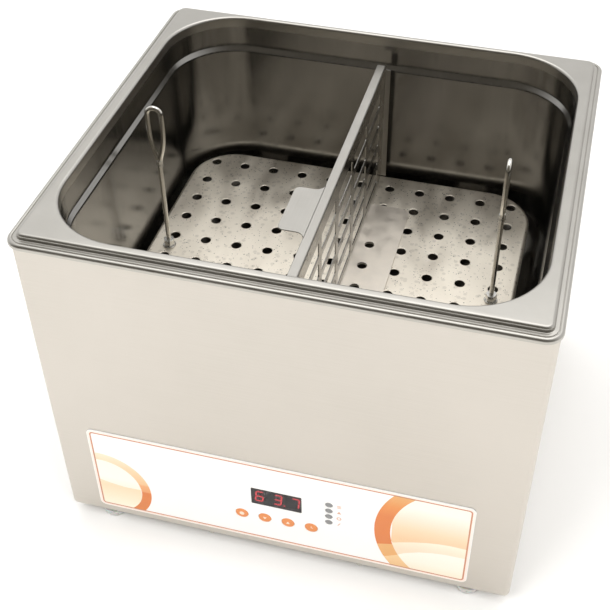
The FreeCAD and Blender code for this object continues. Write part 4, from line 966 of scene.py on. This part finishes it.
# White pad-printed marks on the rocker face, laid along its two slopes.
mark_white = plain_finish("print_white_mark", "#E9E9E6", "#F3F3F0", 0.6, 0.45, 0.55)
AXLE = Vector((middle_of("power_rocker").x, 0.151, 0.048))
upper_edge, lower_edge, waist = Vector((8.4, 10)), Vector((6.2, -11.4)), Vector((5.2, 0))
MARK_PROUD, MARK_DEEP = 0.04, 0.14
mark_share = 0.55
bar_mark = [[(-0.45, -2.0), (0.45, -2.0), (0.45, 2.0), (-0.45, 2.0)]]
ring_mark = ring_faces((0, 0), (2.1, 1.4), 28)
rocker_marks = bmesh.new()
for faces, edge in ((bar_mark, upper_edge), (ring_mark, lower_edge)):
    slope_way = (edge - waist).normalized()
    outward = Vector((slope_way.y, -slope_way.x)) * (1 if slope_way.y > 0 else -1)
    middle = waist + (edge - waist) * mark_share
    up = slope_way * (1 if slope_way.y > 0 else -1)
    mark = bmesh.new()
    for face in faces:
        mark.faces.new([mark.verts.new((AXLE.x + u * MM,
                                        AXLE.y + (middle.x + up.x * v + outward.x * MARK_PROUD) * MM,
                                        AXLE.z + (middle.y + up.y * v + outward.y * MARK_PROUD) * MM))
                        for u, v in face])
    bmesh.ops.remove_doubles(mark, verts=mark.verts, dist=MERGE)
    thickened(mark, (0, -outward.x * MARK_DEEP * MM, -outward.y * MARK_DEEP * MM))
    rocker_marks.from_mesh(mesh_of("mark_face", mark))
marks_piece = placed("rocker_marks", mesh_of("rocker_marks", rocker_marks))
dress(marks_piece, "power_rocker", mark_white, ())

# ------------------------------------------------------------------------------------------------
# Everything inside the case: insulation, heating, boards and wiring. The CAD shapes are right as they
# are; each gets the finish of what it is made of.
# Needled glass wool: matt yellow-white fibre.
carry_over(plain_finish("glass_wool_needled", "#D9CFA6", "#EDE6C8", 1.2, 0.85, 0.95, 0.4),
           "insulation_wrap", "base_insulation")
# Vulcanised silicone heater mat: brick red, faint cloth print.
carry_over(plain_finish("silicone_heater_mat_red", "#A5452F", "#B85640", 0.8, 0.5, 0.62, 0.05),
           "heater_mat")
# Rolled aluminium: soft grey, directionless at this size.
carry_over(plain_finish("aluminium_rolled", "#BFC1C2", "#D3D4D5", 3, 0.28, 0.4, 0.01, Metallic=1.0),
           "heater_plate", "probe_clip")
# Drawn stainless tube of the probe.
carry_over(plain_finish("stainless_drawn_probe", "#C2BFB8", "#D4D1CA", 0.8, 0.2, 0.3, 0.0,
                        Metallic=1.0), "temperature_probe")
# Bakelite body of the thermal cut-out: dark brown, slightly glossy.
carry_over(plain_finish("phenolic_moulded_brown", "#2B1D16", "#38271E", 0.7, 0.3, 0.45, 0.02),
           "overheat_cutout")
# Glass-epoxy board under green solder mask.
carry_over(plain_finish("glass_epoxy_green_mask", "#1F5A34", "#2B6E42", 1.6, 0.25, 0.4, 0.02,
                        Coat_Weight=0.3), "control_board", "power_board")
# Transfer-moulded epoxy packages.
carry_over(plain_finish("epoxy_moulded_package", "#18181A", "#232326", 0.5, 0.5, 0.62, 0.02),
           "controller_chip", "key_switches")
# Brass turned and plated.
carry_over(plain_finish("brass_turned", "#C0A25C", "#D2B670", 0.9, 0.22, 0.34, 0.0, Metallic=1.0),
           "board_standoffs", "power_standoffs", "earth_stud")
carry_over(bright_steel, "board_nuts")
# Varnished laminations and tape of the transformer.
carry_over(plain_finish("steel_laminations_varnished", "#2A2723", "#3C3731", 0.6, 0.35, 0.5, 0.03),
           "power_transformer")
# Moulded black parts of the power side.
carry_over(moulded_black, "terminal_block", "solid_state_relay")
# Black anodised extrusion.
carry_over(plain_finish("aluminium_anodised_black", "#1B1C1E", "#26282A", 1.2, 0.35, 0.48, 0.01,
                        Metallic=0.6), "heat_sink")
# Borosilicate tube with nickel caps: drawn as one bright glassy part.
carry_over(plain_finish("fuse_glass_and_caps", "#C9CDCB", "#DDE1DF", 1.0, 0.1, 0.2, 0.0, Metallic=0.4),
           "fuse")
# Extruded PVC covers, soft and even: brown on the mains side, white on the probe, grey on the ribbon.
carry_over(plain_finish("pvc_wire_cover_brown", "#6B4630", "#7A523A", 0.8, 0.35, 0.5, 0.01),
           "mains_wires", "heater_leads")
carry_over(plain_finish("pvc_wire_cover_white", "#DAD9D4", "#E8E7E2", 0.8, 0.35, 0.5, 0.01),
           "probe_lead")
carry_over(plain_finish("pvc_ribbon_grey", "#8F9294", "#A0A3A5", 0.8, 0.4, 0.55, 0.02), "ribbon_cable")

# ------------------------------------------------------------------------------------------------
# Tray. Stainless sheet, 1.2 mm, blanked and pierced in one grid, its edge drawn down over a round; it
# stands on four small welded legs. The punched holes have rounded lips.
SHEET_INPUTS = (("Outline", "NodeSocketGeometry"), ("Columns", "NodeSocketInt"),
                ("Rows", "NodeSocketInt"), ("Span Across", "NodeSocketFloat"),
                ("Span Along", "NodeSocketFloat"), ("Grid Middle", "NodeSocketVector"),
                ("Hole Across", "NodeSocketFloat"), ("Hole Along", "NodeSocketFloat"),
                ("Hole Corner", "NodeSocketFloat"), ("Gauge", "NodeSocketFloat"),
                ("Finish", "NodeSocketMaterial"))
sheet_tree = bpy.data.node_groups.new("pierced_sheet", "GeometryNodeTree")
sheet_sockets = {}
for label, kind in SHEET_INPUTS:
    sheet_sockets[label] = sheet_tree.interface.new_socket(label, in_out="INPUT",
                                                           socket_type=kind).identifier
sheet_tree.interface.new_socket("Sheet", in_out="OUTPUT", socket_type="NodeSocketGeometry")
given = add_node(sheet_tree, "NodeGroupInput").outputs
half_gauge = add_node(sheet_tree, "ShaderNodeMath", {0: given["Gauge"], 1: 0.5},
                      operation="MULTIPLY").outputs[0]
grid = add_node(sheet_tree, "GeometryNodeMeshGrid",
                {"Size X": given["Span Across"], "Size Y": given["Span Along"],
                 "Vertices X": given["Columns"], "Vertices Y": given["Rows"]})
spots = add_node(sheet_tree, "GeometryNodeTransform",
                 {"Geometry": grid.outputs["Mesh"], "Translation": given["Grid Middle"]})
hole = add_node(sheet_tree, "GeometryNodeCurvePrimitiveQuadrilateral",
                {"Width": given["Hole Across"], "Height": given["Hole Along"]})
hole_round = add_node(sheet_tree, "GeometryNodeFilletCurve",
                      {"Curve": hole.outputs[0], "Count": 6, "Radius": given["Hole Corner"]},
                      mode="POLY")
lip_line = add_node(sheet_tree, "GeometryNodeCurveArc",
                    {"Resolution": 7, "Radius": half_gauge, "Start Angle": math.pi / 2,
                     "Sweep Angle": math.pi})
lip = add_node(sheet_tree, "GeometryNodeCurveToMesh",
               {"Curve": hole_round.outputs[0], "Profile Curve": lip_line.outputs[0]})
lips = add_node(sheet_tree, "GeometryNodeInstanceOnPoints",
                {"Points": spots.outputs[0], "Instance": lip.outputs[0]})
punched = add_node(sheet_tree, "GeometryNodeInstanceOnPoints",
                   {"Points": spots.outputs[0], "Instance": hole_round.outputs[0]})
loose = add_node(sheet_tree, "GeometryNodeRealizeInstances", {0: punched.outputs[0]})
edge_line = add_node(sheet_tree, "GeometryNodeMeshToCurve", {0: given["Outline"]})
lines = add_node(sheet_tree, "GeometryNodeJoinGeometry")
for line in (edge_line, loose):
    sheet_tree.links.new(line.outputs[0], lines.inputs[0])
flat = add_node(sheet_tree, "GeometryNodeFillCurve", {0: lines.outputs[0]}, mode="NGONS")
lift = add_node(sheet_tree, "ShaderNodeCombineXYZ", {2: half_gauge})
sink = add_node(sheet_tree, "ShaderNodeVectorMath", {0: lift.outputs[0], "Scale": -1.0},
                operation="SCALE")
top = add_node(sheet_tree, "GeometryNodeTransform",
               {"Geometry": flat.outputs[0], "Translation": lift.outputs[0]})
turned_over = add_node(sheet_tree, "GeometryNodeFlipFaces", {0: flat.outputs[0]})
low_side = add_node(sheet_tree, "GeometryNodeTransform",
                    {"Geometry": turned_over.outputs[0], "Translation": sink.outputs[0]})
whole = add_node(sheet_tree, "GeometryNodeJoinGeometry")
real_lips = add_node(sheet_tree, "GeometryNodeRealizeInstances", {0: lips.outputs[0]})
for item in (top, low_side, real_lips):
    sheet_tree.links.new(item.outputs[0], whole.inputs[0])
painted = add_node(sheet_tree, "GeometryNodeSetMaterial",
                   {"Geometry": whole.outputs[0], "Material": given["Finish"]})
add_node(sheet_tree, "NodeGroupOutput", {0: painted.outputs[0]})


def pierced(name, outline, **values):
    """Both faces of a flat sheet about z = 0 with lipped holes set out on a grid; outline is in metres."""
    mesh = bpy.data.meshes.new(name)
    count = len(outline)
    mesh.from_pydata([(x, y, 0) for x, y in outline], [(i, (i + 1) % count) for i in range(count)], [])
    sheet = placed(name, mesh)
    piercing = sheet.modifiers.new("pierced_sheet", "NODES")
    piercing.node_group = sheet_tree
    for label, value in values.items():
        piercing[sheet_sockets[label.replace("_", " ")]] = value
    return frozen(sheet)


WELD = 0.02 * MM


def welded(name, parts):
    """Join pieces whose edges meet into one closed mesh, with its normals outward."""
    shape = bmesh.new()
    for part in parts:
        shape.from_mesh(part.data)
        bpy.data.objects.remove(part)
    return creased(placed(name, mesh_of(name, tidied(shape, WELD))))


tray_low, tray_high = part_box("tray")
GAUGE, PITCH, HOLE = 1.2, (25.9, 26.15), 3.9
TRAY_CORNER, EDGE_ROUND = 38, 3.2
COLUMNS, ROWS = 11, 10
first = Vector((-135, -118.5)) * MM
holes_middle = first + Vector(((COLUMNS - 1) / 2 * PITCH[0], (ROWS - 1) / 2 * PITCH[1])) * MM

# Stainless, bright annealed and much used: pale, with long soft streaks, dried water spots and fine
# dark specks; the streaks come from roughness as well as colour, the spots and specks from colour alone.
used_steel, tree, shader = new_surface("stainless_tray_water_marked", {"Metallic": 1.0})
place = add_node(tree, "ShaderNodeTexCoord").outputs["Object"]
SPECK_MM, SPOT_MM, STREAK_MM = 1.7, 6, 22
streak_map = add_node(tree, "ShaderNodeMapping",
                      {"Vector": place, "Rotation": (0, 0, 0.3),
                       "Scale": (1 / (STREAK_MM * MM), 1 / (3 * STREAK_MM * MM), 1 / (STREAK_MM * MM))})
streaks = add_node(tree, "ShaderNodeTexNoise",
                   {"Vector": streak_map.outputs[0], "Scale": 1.0, "Detail": 4.0, "Distortion": 0.4})
dried_spots = add_node(tree, "ShaderNodeTexVoronoi",
                       {"Vector": place, "Scale": 1 / (SPOT_MM * MM), "Randomness": 1.0})
specks = add_node(tree, "ShaderNodeTexVoronoi",
                  {"Vector": place, "Scale": 1 / (SPECK_MM * MM), "Randomness": 1.0})
speck_size = add_node(tree, "ShaderNodeTexWhiteNoise", {"Vector": specks.outputs["Position"]})
speck_reach = add_node(tree, "ShaderNodeMapRange",
                       {0: speck_size.outputs[0], 1: 0.45, 2: 1.0, 3: 0.0, 4: 0.3})
speck_edge = add_node(tree, "ShaderNodeMath",
                      {0: specks.outputs["Distance"], 1: speck_reach.outputs[0]}, operation="LESS_THAN")
speck_amount = add_node(tree, "ShaderNodeMath", {0: speck_edge.outputs[0], 1: 0.75},
                        operation="MULTIPLY")
base = add_node(tree, "ShaderNodeMix", {0: streaks.outputs[0], 6: tone("#DAD0C0"), 7: tone("#FDF7EA")},
                data_type="RGBA")
dried = add_node(tree, "ShaderNodeMapRange",
                 {0: dried_spots.outputs["Distance"], 1: 0.2, 2: 0.34, 3: 0.22, 4: 0.0})
spotted = add_node(tree, "ShaderNodeMix", {0: dried.outputs[0], 6: base.outputs[2], 7: tone("#8F897D")},
                   data_type="RGBA")
flecked = add_node(tree, "ShaderNodeMix",
                   {0: speck_amount.outputs[0], 6: spotted.outputs[2], 7: tone("#4A463F")},
                   data_type="RGBA")
tree.links.new(flecked.outputs[2], shader.inputs["Base Color"])
sheen_range = add_node(tree, "ShaderNodeMapRange",
                       {0: streaks.outputs[0], 1: 0.3, 2: 0.7, 3: 0.36, 4: 0.56})
tree.links.new(sheen_range.outputs[0], shader.inputs["Roughness"])
waves = add_node(tree, "ShaderNodeTexNoise", {"Vector": place, "Scale": 1 / (60 * MM), "Detail": 1.0})
relief = add_node(tree, "ShaderNodeBump",
                  {"Height": waves.outputs[0], "Strength": 0.2, "Distance": 0.25 * MM})
tree.links.new(relief.outputs[0], shader.inputs["Normal"])


def tray_ring(inset, drop):
    """A loop that lies inset from the tray's edge and drop below its top."""
    corner = Vector((inset, inset)) * MM
    low = Vector((tray_low.x, tray_low.y)) + corner
    high = Vector((tray_high.x, tray_high.y)) - corner
    return [(x, y, tray_high.z - drop * MM)
            for x, y in rounded_loop(low, high, (TRAY_CORNER - inset) * MM)]


# A hole's lip is drawn round the middle of its gauge; its corners take up nearly all of each side.
ALL_ROUND, SKIRT = 0.999, 8
lip_middle = (HOLE + GAUGE / 2) * MM
top_sheet = pierced("tray_sheet", [(x, y) for x, y, z in tray_ring(EDGE_ROUND, 0)], Columns=COLUMNS,
                    Rows=ROWS, Span_Across=(COLUMNS - 1) * PITCH[0] * MM,
                    Span_Along=(ROWS - 1) * PITCH[1] * MM,
                    Grid_Middle=(holes_middle.x, holes_middle.y, 0), Hole_Across=2 * lip_middle,
                    Hole_Along=2 * lip_middle, Hole_Corner=lip_middle * ALL_ROUND, Gauge=GAUGE * MM,
                    Finish=used_steel)
top_sheet.data.transform(Matrix.Translation((0, 0, tray_high.z - GAUGE / 2 * MM)))
edge_rows = [tray_ring(EDGE_ROUND * (1 - math.sin(t)), EDGE_ROUND * (1 - math.cos(t)))
             for t in quarter(6)]
edge_rows += [tray_ring(0, SKIRT - 0.4), tray_ring(0.3, SKIRT), tray_ring(GAUGE - 0.3, SKIRT),
              tray_ring(GAUGE, SKIRT - 0.4)]
edge_rows += [tray_ring(GAUGE + (EDGE_ROUND - GAUGE) * (1 - math.sin(t)),
                        GAUGE + (EDGE_ROUND - GAUGE) * (1 - math.cos(t))) for t in reversed(quarter(6))]
tray_edge = skin("tray_edge", edge_rows, ends=False)
tray_piece = welded("tray_pierced", [top_sheet, tray_edge])
dress(tray_piece, "tray", used_steel, ["tray"])
dress(softened("tray_leg_tabs", "tray_legs", 0.3), "tray", used_steel, ["tray_legs"])

# ------------------------------------------------------------------------------------------------
# Lifting rods. Bright drawn stainless wire: a stem, and a long narrow eye closed in a crimped collar;
# a nut and a washer hold each rod above the tray and a second nut below it.
rod_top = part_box("left_rod_eye")[1].z / MM
stem_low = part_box("left_lifting_rod")[0].z / MM
WIRE, BOW, WIRE_CREASE_DEGREES = 1.8, 5.4, 40
bow_level = rod_top - WIRE - BOW


def wire(name, paths):
    """Round bent wire along smooth lines, as one mesh with closed ends."""
    line = bpy.data.curves.new(name, "CURVE")
    line.dimensions = "3D"
    line.bevel_depth = WIRE * MM
    line.bevel_resolution = 5
    line.resolution_u = 6
    line.use_fill_caps = True
    for points in paths:
        run = line.splines.new("NURBS")
        run.points.add(len(points) - 1)
        for spot, at in zip(run.points, points):
            spot.co = (*[value * MM for value in at], 1)
        run.order_u = 4
        run.use_endpoint_u = True
    source = placed(name, line)
    mesh = bpy.data.meshes.new_from_object(source.evaluated_get(bpy.context.evaluated_depsgraph_get()))
    bpy.data.objects.remove(source)
    shape = bmesh.new()
    shape.from_mesh(mesh)
    bpy.data.meshes.remove(mesh)
    return creased(placed(name, mesh_of(name, tidied(shape))), WIRE_CREASE_DEGREES)


# Drawn stainless wire, bright: nearly a mirror, with faint draw lines along it.
drawn_wire = plain_finish("stainless_drawn_wire_bright", "#CFCBC3", "#E4E1DA", 0.7, 0.12, 0.22, 0.0,
                          Metallic=1.0)
for side, along in (("left", Vector((1, 0, 0))), ("right", Vector((0, 1, 0)))):
    low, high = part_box(side + "_lifting_rod")
    x, y = (low.x + high.x) / 2 / MM, (low.y + high.y) / 2 / MM

    def beside(offset, z):
        """A point level with the stem's middle and offset to its side."""
        return (x + along.x * offset, y + along.y * offset, z)

    arch = [beside(BOW * 1.04 * math.cos(t), bow_level + BOW * 1.02 * math.sin(t))
            for t in (k * math.pi / 8 for k in range(9))]
    flank = [(0.6, 243.5), (0.65, 246), (0.9, 249), (2.6, 254), (4.9, 263), (5.6, 275)]
    eye = [beside(o, z) for o, z in flank] + arch + [beside(-o, z) for o, z in reversed(flank)]
    stem = [(x, y, stem_low), (x, y, stem_low + 0.5), (x, y, 200), (x, y, 244.5), (x, y, 245)]
    dress(wire(side + "_rod_wire", [stem, eye]), "tray", drawn_wire,
          [side + "_lifting_rod", side + "_rod_eye"])

washer = lathed("washer", [(1.7, 0), (4.9, 0), (5.2, 0.25), (5.2, 0.8), (4.9, 1.1), (1.7, 1.1)], 36)
dress(set_out("rod_washers_turned", washer, seats_of("rod_washers", 2, 2), bright_steel), "tray",
      bright_steel, ["rod_washers"])
collar = lathed("collar",
                [(1.7, 0.1), (2.2, 0), (2.55, 0.4), (2.65, 1.2), (2.45, 2.2), (2.45, 3.8), (2.65, 4.8),
                 (2.55, 5.6), (2.2, 6), (1.7, 5.9)])
dress(set_out("rod_collars_crimped", collar, seats_of("rod_collars", 2, 2), bright_steel), "tray",
      bright_steel, ["rod_collars"])
dress(softened("rod_hex_nuts", "rod_nuts", 0.35), "tray", bright_steel, ["rod_nuts"])

# ------------------------------------------------------------------------------------------------
# Divider. Slotted 1 mm stainless plate; its top is folded to the left and carries a lifting tab, its
# ends are folded to the right, and a separate pierced foot lies on the tray.
div_low, div_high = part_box("divider")
PLATE_RIGHT, PLATE_GAUGE, FOLD_REACH = 8.9, 1.0, 7.0
FRONT_END, REAR_END = div_low.y / MM, div_high.y / MM
PLATE_TOP, PLATE_LOW = div_high.z / MM, div_low.z / MM
SLOT_LONG, SLOT_TALL, SLOT_STEP_LONG, SLOT_STEP_TALL, SLOT_FIRST, SLOT_LOW = 40.5, 12.8, 48, 18.7, -116, 170
SLOTS, SLOT_CORNER, BEND = 5, 2.5, 1.6
# Stainless sheet, light satin: greyer than the tray, with a faint level grain.
satin_sheet, tree, shader = new_surface("stainless_divider_satin", {"Metallic": 1.0})
place = add_node(tree, "ShaderNodeTexCoord").outputs["Object"]
level_map = add_node(tree, "ShaderNodeMapping",
                     {"Vector": place, "Scale": (1 / (0.6 * MM), 1 / (40 * MM), 1 / (0.6 * MM))})
level_grain = add_node(tree, "ShaderNodeTexNoise",
                       {"Vector": level_map.outputs[0], "Scale": 1.0, "Detail": 3.0})
cloud = add_node(tree, "ShaderNodeTexNoise", {"Vector": place, "Scale": 1 / (30 * MM), "Detail": 3.0})
satin_tone = add_node(tree, "ShaderNodeMix",
                      {0: cloud.outputs[0], 6: tone("#A3A09A"), 7: tone("#B8B5AF")}, data_type="RGBA")
tree.links.new(satin_tone.outputs[2], shader.inputs["Base Color"])
satin_rough = add_node(tree, "ShaderNodeMapRange",
                       {0: level_grain.outputs[0], 1: 0.3, 2: 0.7, 3: 0.34, 4: 0.48})
tree.links.new(satin_rough.outputs[0], shader.inputs["Roughness"])
satin_relief = add_node(tree, "ShaderNodeBump",
                        {"Height": level_grain.outputs[0], "Strength": 0.05, "Distance": 0.02 * MM})
tree.links.new(satin_relief.outputs[0], shader.inputs["Normal"])

# The upright plate is the same sheet with its bright side out: darker, since it mirrors the walls.
bright_sheet, tree, shader = new_surface("stainless_divider_plate_bright", {"Metallic": 1.0})
place = add_node(tree, "ShaderNodeTexCoord").outputs["Object"]
plate_cloud = add_node(tree, "ShaderNodeTexNoise",
                       {"Vector": place, "Scale": 1 / (14 * MM), "Detail": 4.0})
plate_tone = add_node(tree, "ShaderNodeMix",
                      {0: plate_cloud.outputs[0], 6: tone("#9C9993"), 7: tone("#BAB7B1")},
                      data_type="RGBA")
tree.links.new(plate_tone.outputs[2], shader.inputs["Base Color"])
plate_rough = add_node(tree, "ShaderNodeMapRange",
                       {0: plate_cloud.outputs[0], 1: 0.3, 2: 0.7, 3: 0.16, 4: 0.3})
tree.links.new(plate_rough.outputs[0], shader.inputs["Roughness"])

# The plate is pierced flat in x = along the bath, y = up, then stood upright.
plate_outline = rounded_loop((FRONT_END * MM, PLATE_LOW * MM), (REAR_END * MM, (PLATE_TOP - BEND) * MM),
                             0.05 * MM, 1)
slots_middle = ((SLOT_FIRST + SLOT_LONG / 2 + (SLOTS - 1) / 2 * SLOT_STEP_LONG) * MM,
                (SLOT_LOW + SLOT_TALL / 2 + (SLOTS - 1) / 2 * SLOT_STEP_TALL) * MM, 0)
web = pierced("divider_web", plate_outline, Columns=SLOTS, Rows=SLOTS,
              Span_Across=(SLOTS - 1) * SLOT_STEP_LONG * MM,
              Span_Along=(SLOTS - 1) * SLOT_STEP_TALL * MM, Grid_Middle=slots_middle,
              Hole_Across=(SLOT_LONG + PLATE_GAUGE) * MM, Hole_Along=(SLOT_TALL + PLATE_GAUGE) * MM,
              Hole_Corner=SLOT_CORNER * MM, Gauge=PLATE_GAUGE * MM, Finish=bright_sheet)
upright = Matrix(((0, 0, 1, (PLATE_RIGHT - PLATE_GAUGE / 2) * MM), (1, 0, 0, 0), (0, 1, 0, 0),
                  (0, 0, 0, 1)))
web.data.transform(upright)


def arc_points(centre, radius, start, end, steps=6):
    """Points along an arc, angles in degrees."""
    return [(centre[0] + radius * math.cos(math.radians(start + (end - start) * k / steps)),
             centre[1] + radius * math.sin(math.radians(start + (end - start) * k / steps)))
            for k in range(steps + 1)]


left_face = PLATE_RIGHT - PLATE_GAUGE
bend_at = (PLATE_RIGHT - BEND, PLATE_TOP - BEND)
fold_tip = PLATE_RIGHT - FOLD_REACH
fold_line = arc_points(bend_at, BEND, 0, 90)
fold_line += [(fold_tip + 0.3, PLATE_TOP), (fold_tip, PLATE_TOP - 0.3),
              (fold_tip, PLATE_TOP - PLATE_GAUGE + 0.3), (fold_tip + 0.3, PLATE_TOP - PLATE_GAUGE)]
fold_line += arc_points(bend_at, BEND - PLATE_GAUGE, 90, 0)
top_fold = skin("divider_fold",
                [[(x * MM, y * MM, z * MM) for x, z in fold_line] for y in (FRONT_END, REAR_END)])
dress(top_fold, "divider", satin_sheet, ())
web_closed = welded("divider_web_sheet", [web])
# Close the outer edge of the plate between its two faces.
edge_shape = bmesh.new()
edge_shape.from_mesh(web_closed.data)
bmesh.ops.bridge_loops(edge_shape, edges=[edge for edge in edge_shape.edges if edge.is_boundary])
bmesh.ops.recalc_face_normals(edge_shape, faces=edge_shape.faces)
edge_shape.to_mesh(web_closed.data)
edge_shape.free()
web_closed.data.set_sharp_from_angle(angle=math.radians(CREASE_DEGREES))
dress(web_closed, "divider", bright_sheet, ["divider"])


def rounded_plate(name, outline, low, high, edge=0.25):
    """A flat plate from an outline in metres, its edges broken by a small round, faces level."""
    def pulled(amount):
        """The outline drawn in by an amount in mm."""
        rows = []
        for i, (x, y) in enumerate(outline):
            before, after = Vector(outline[i - 1]), Vector(outline[(i + 1) % len(outline)])
            way = after - before
            out = Vector((way.y, -way.x)).normalized()
            rows.append((x - out.x * amount * MM, y - out.y * amount * MM))
        return rows
    rows = []
    for pull, z in ((edge, low), (edge * 0.3, low + edge * 0.3), (0, low + edge), (0, high - edge),
                    (edge * 0.3, high - edge * 0.3), (edge, high)):
        rows.append([(x, y, z * MM) for x, y in pulled(pull)])
    return skin(name, rows)


tab_left, tab_low, tab_high = div_low.x / MM, -85.5, -37.5
FILLET, TAB_ROUND, FLANGE = 7, 4, fold_tip + 0.4
tab_outline = arc_points((FLANGE - FILLET, tab_low - FILLET), FILLET, 0, 90, 8)
tab_outline += arc_points((tab_left + TAB_ROUND, tab_low + TAB_ROUND), TAB_ROUND, 270, 180)
tab_outline += arc_points((tab_left + TAB_ROUND, tab_high - TAB_ROUND), TAB_ROUND, 180, 90)
tab_outline += arc_points((FLANGE - FILLET, tab_high + FILLET), FILLET, 270, 360, 8)
tab_outline = [(x * MM, y * MM) for x, y in reversed(tab_outline)]
tab = rounded_plate("divider_lifting_tab", tab_outline, PLATE_TOP - PLATE_GAUGE, PLATE_TOP)
dress(tab, "divider", satin_sheet, ())
# End folds: a round bend at each end of the plate, then a short flange to the right.
END_REACH, END_LOW, END_TOP = 13.4, PLATE_LOW, PLATE_TOP - 3.3
for label, wall, sign in (("front", FRONT_END, 1), ("rear", REAR_END, -1)):
    outer_bend = [(left_face + BEND - BEND * math.cos(t), wall + sign * (BEND - BEND * math.sin(t)))
                  for t in quarter(6)]
    inner_bend = [(left_face + BEND - (BEND - PLATE_GAUGE) * math.cos(t),
                   wall + sign * (BEND - (BEND - PLATE_GAUGE) * math.sin(t)))
                  for t in reversed(quarter(6))]
    flange_tip = [(END_REACH - 0.5, wall), (END_REACH - 0.5, wall + sign * PLATE_GAUGE)]
    section = outer_bend + flange_tip + inner_bend
    rows = [[(x * MM, y * MM, z * MM) for x, y in section] for z in (END_LOW, END_TOP)]
    dress(skin("divider_end_fold_" + label, rows), "divider", satin_sheet, ())
# The foot is the same used sheet as the tray, a shade duller where it is wiped less.
dull_sheet = plain_finish("stainless_foot_plate_dull", "#DAD2C6", "#F0E8DC", 9, 0.4, 0.56, 0.01,
                          Metallic=1.0)
dress(softened("divider_foot_plate", "divider_foot", 0.25), "divider", dull_sheet, ["divider_foot"])
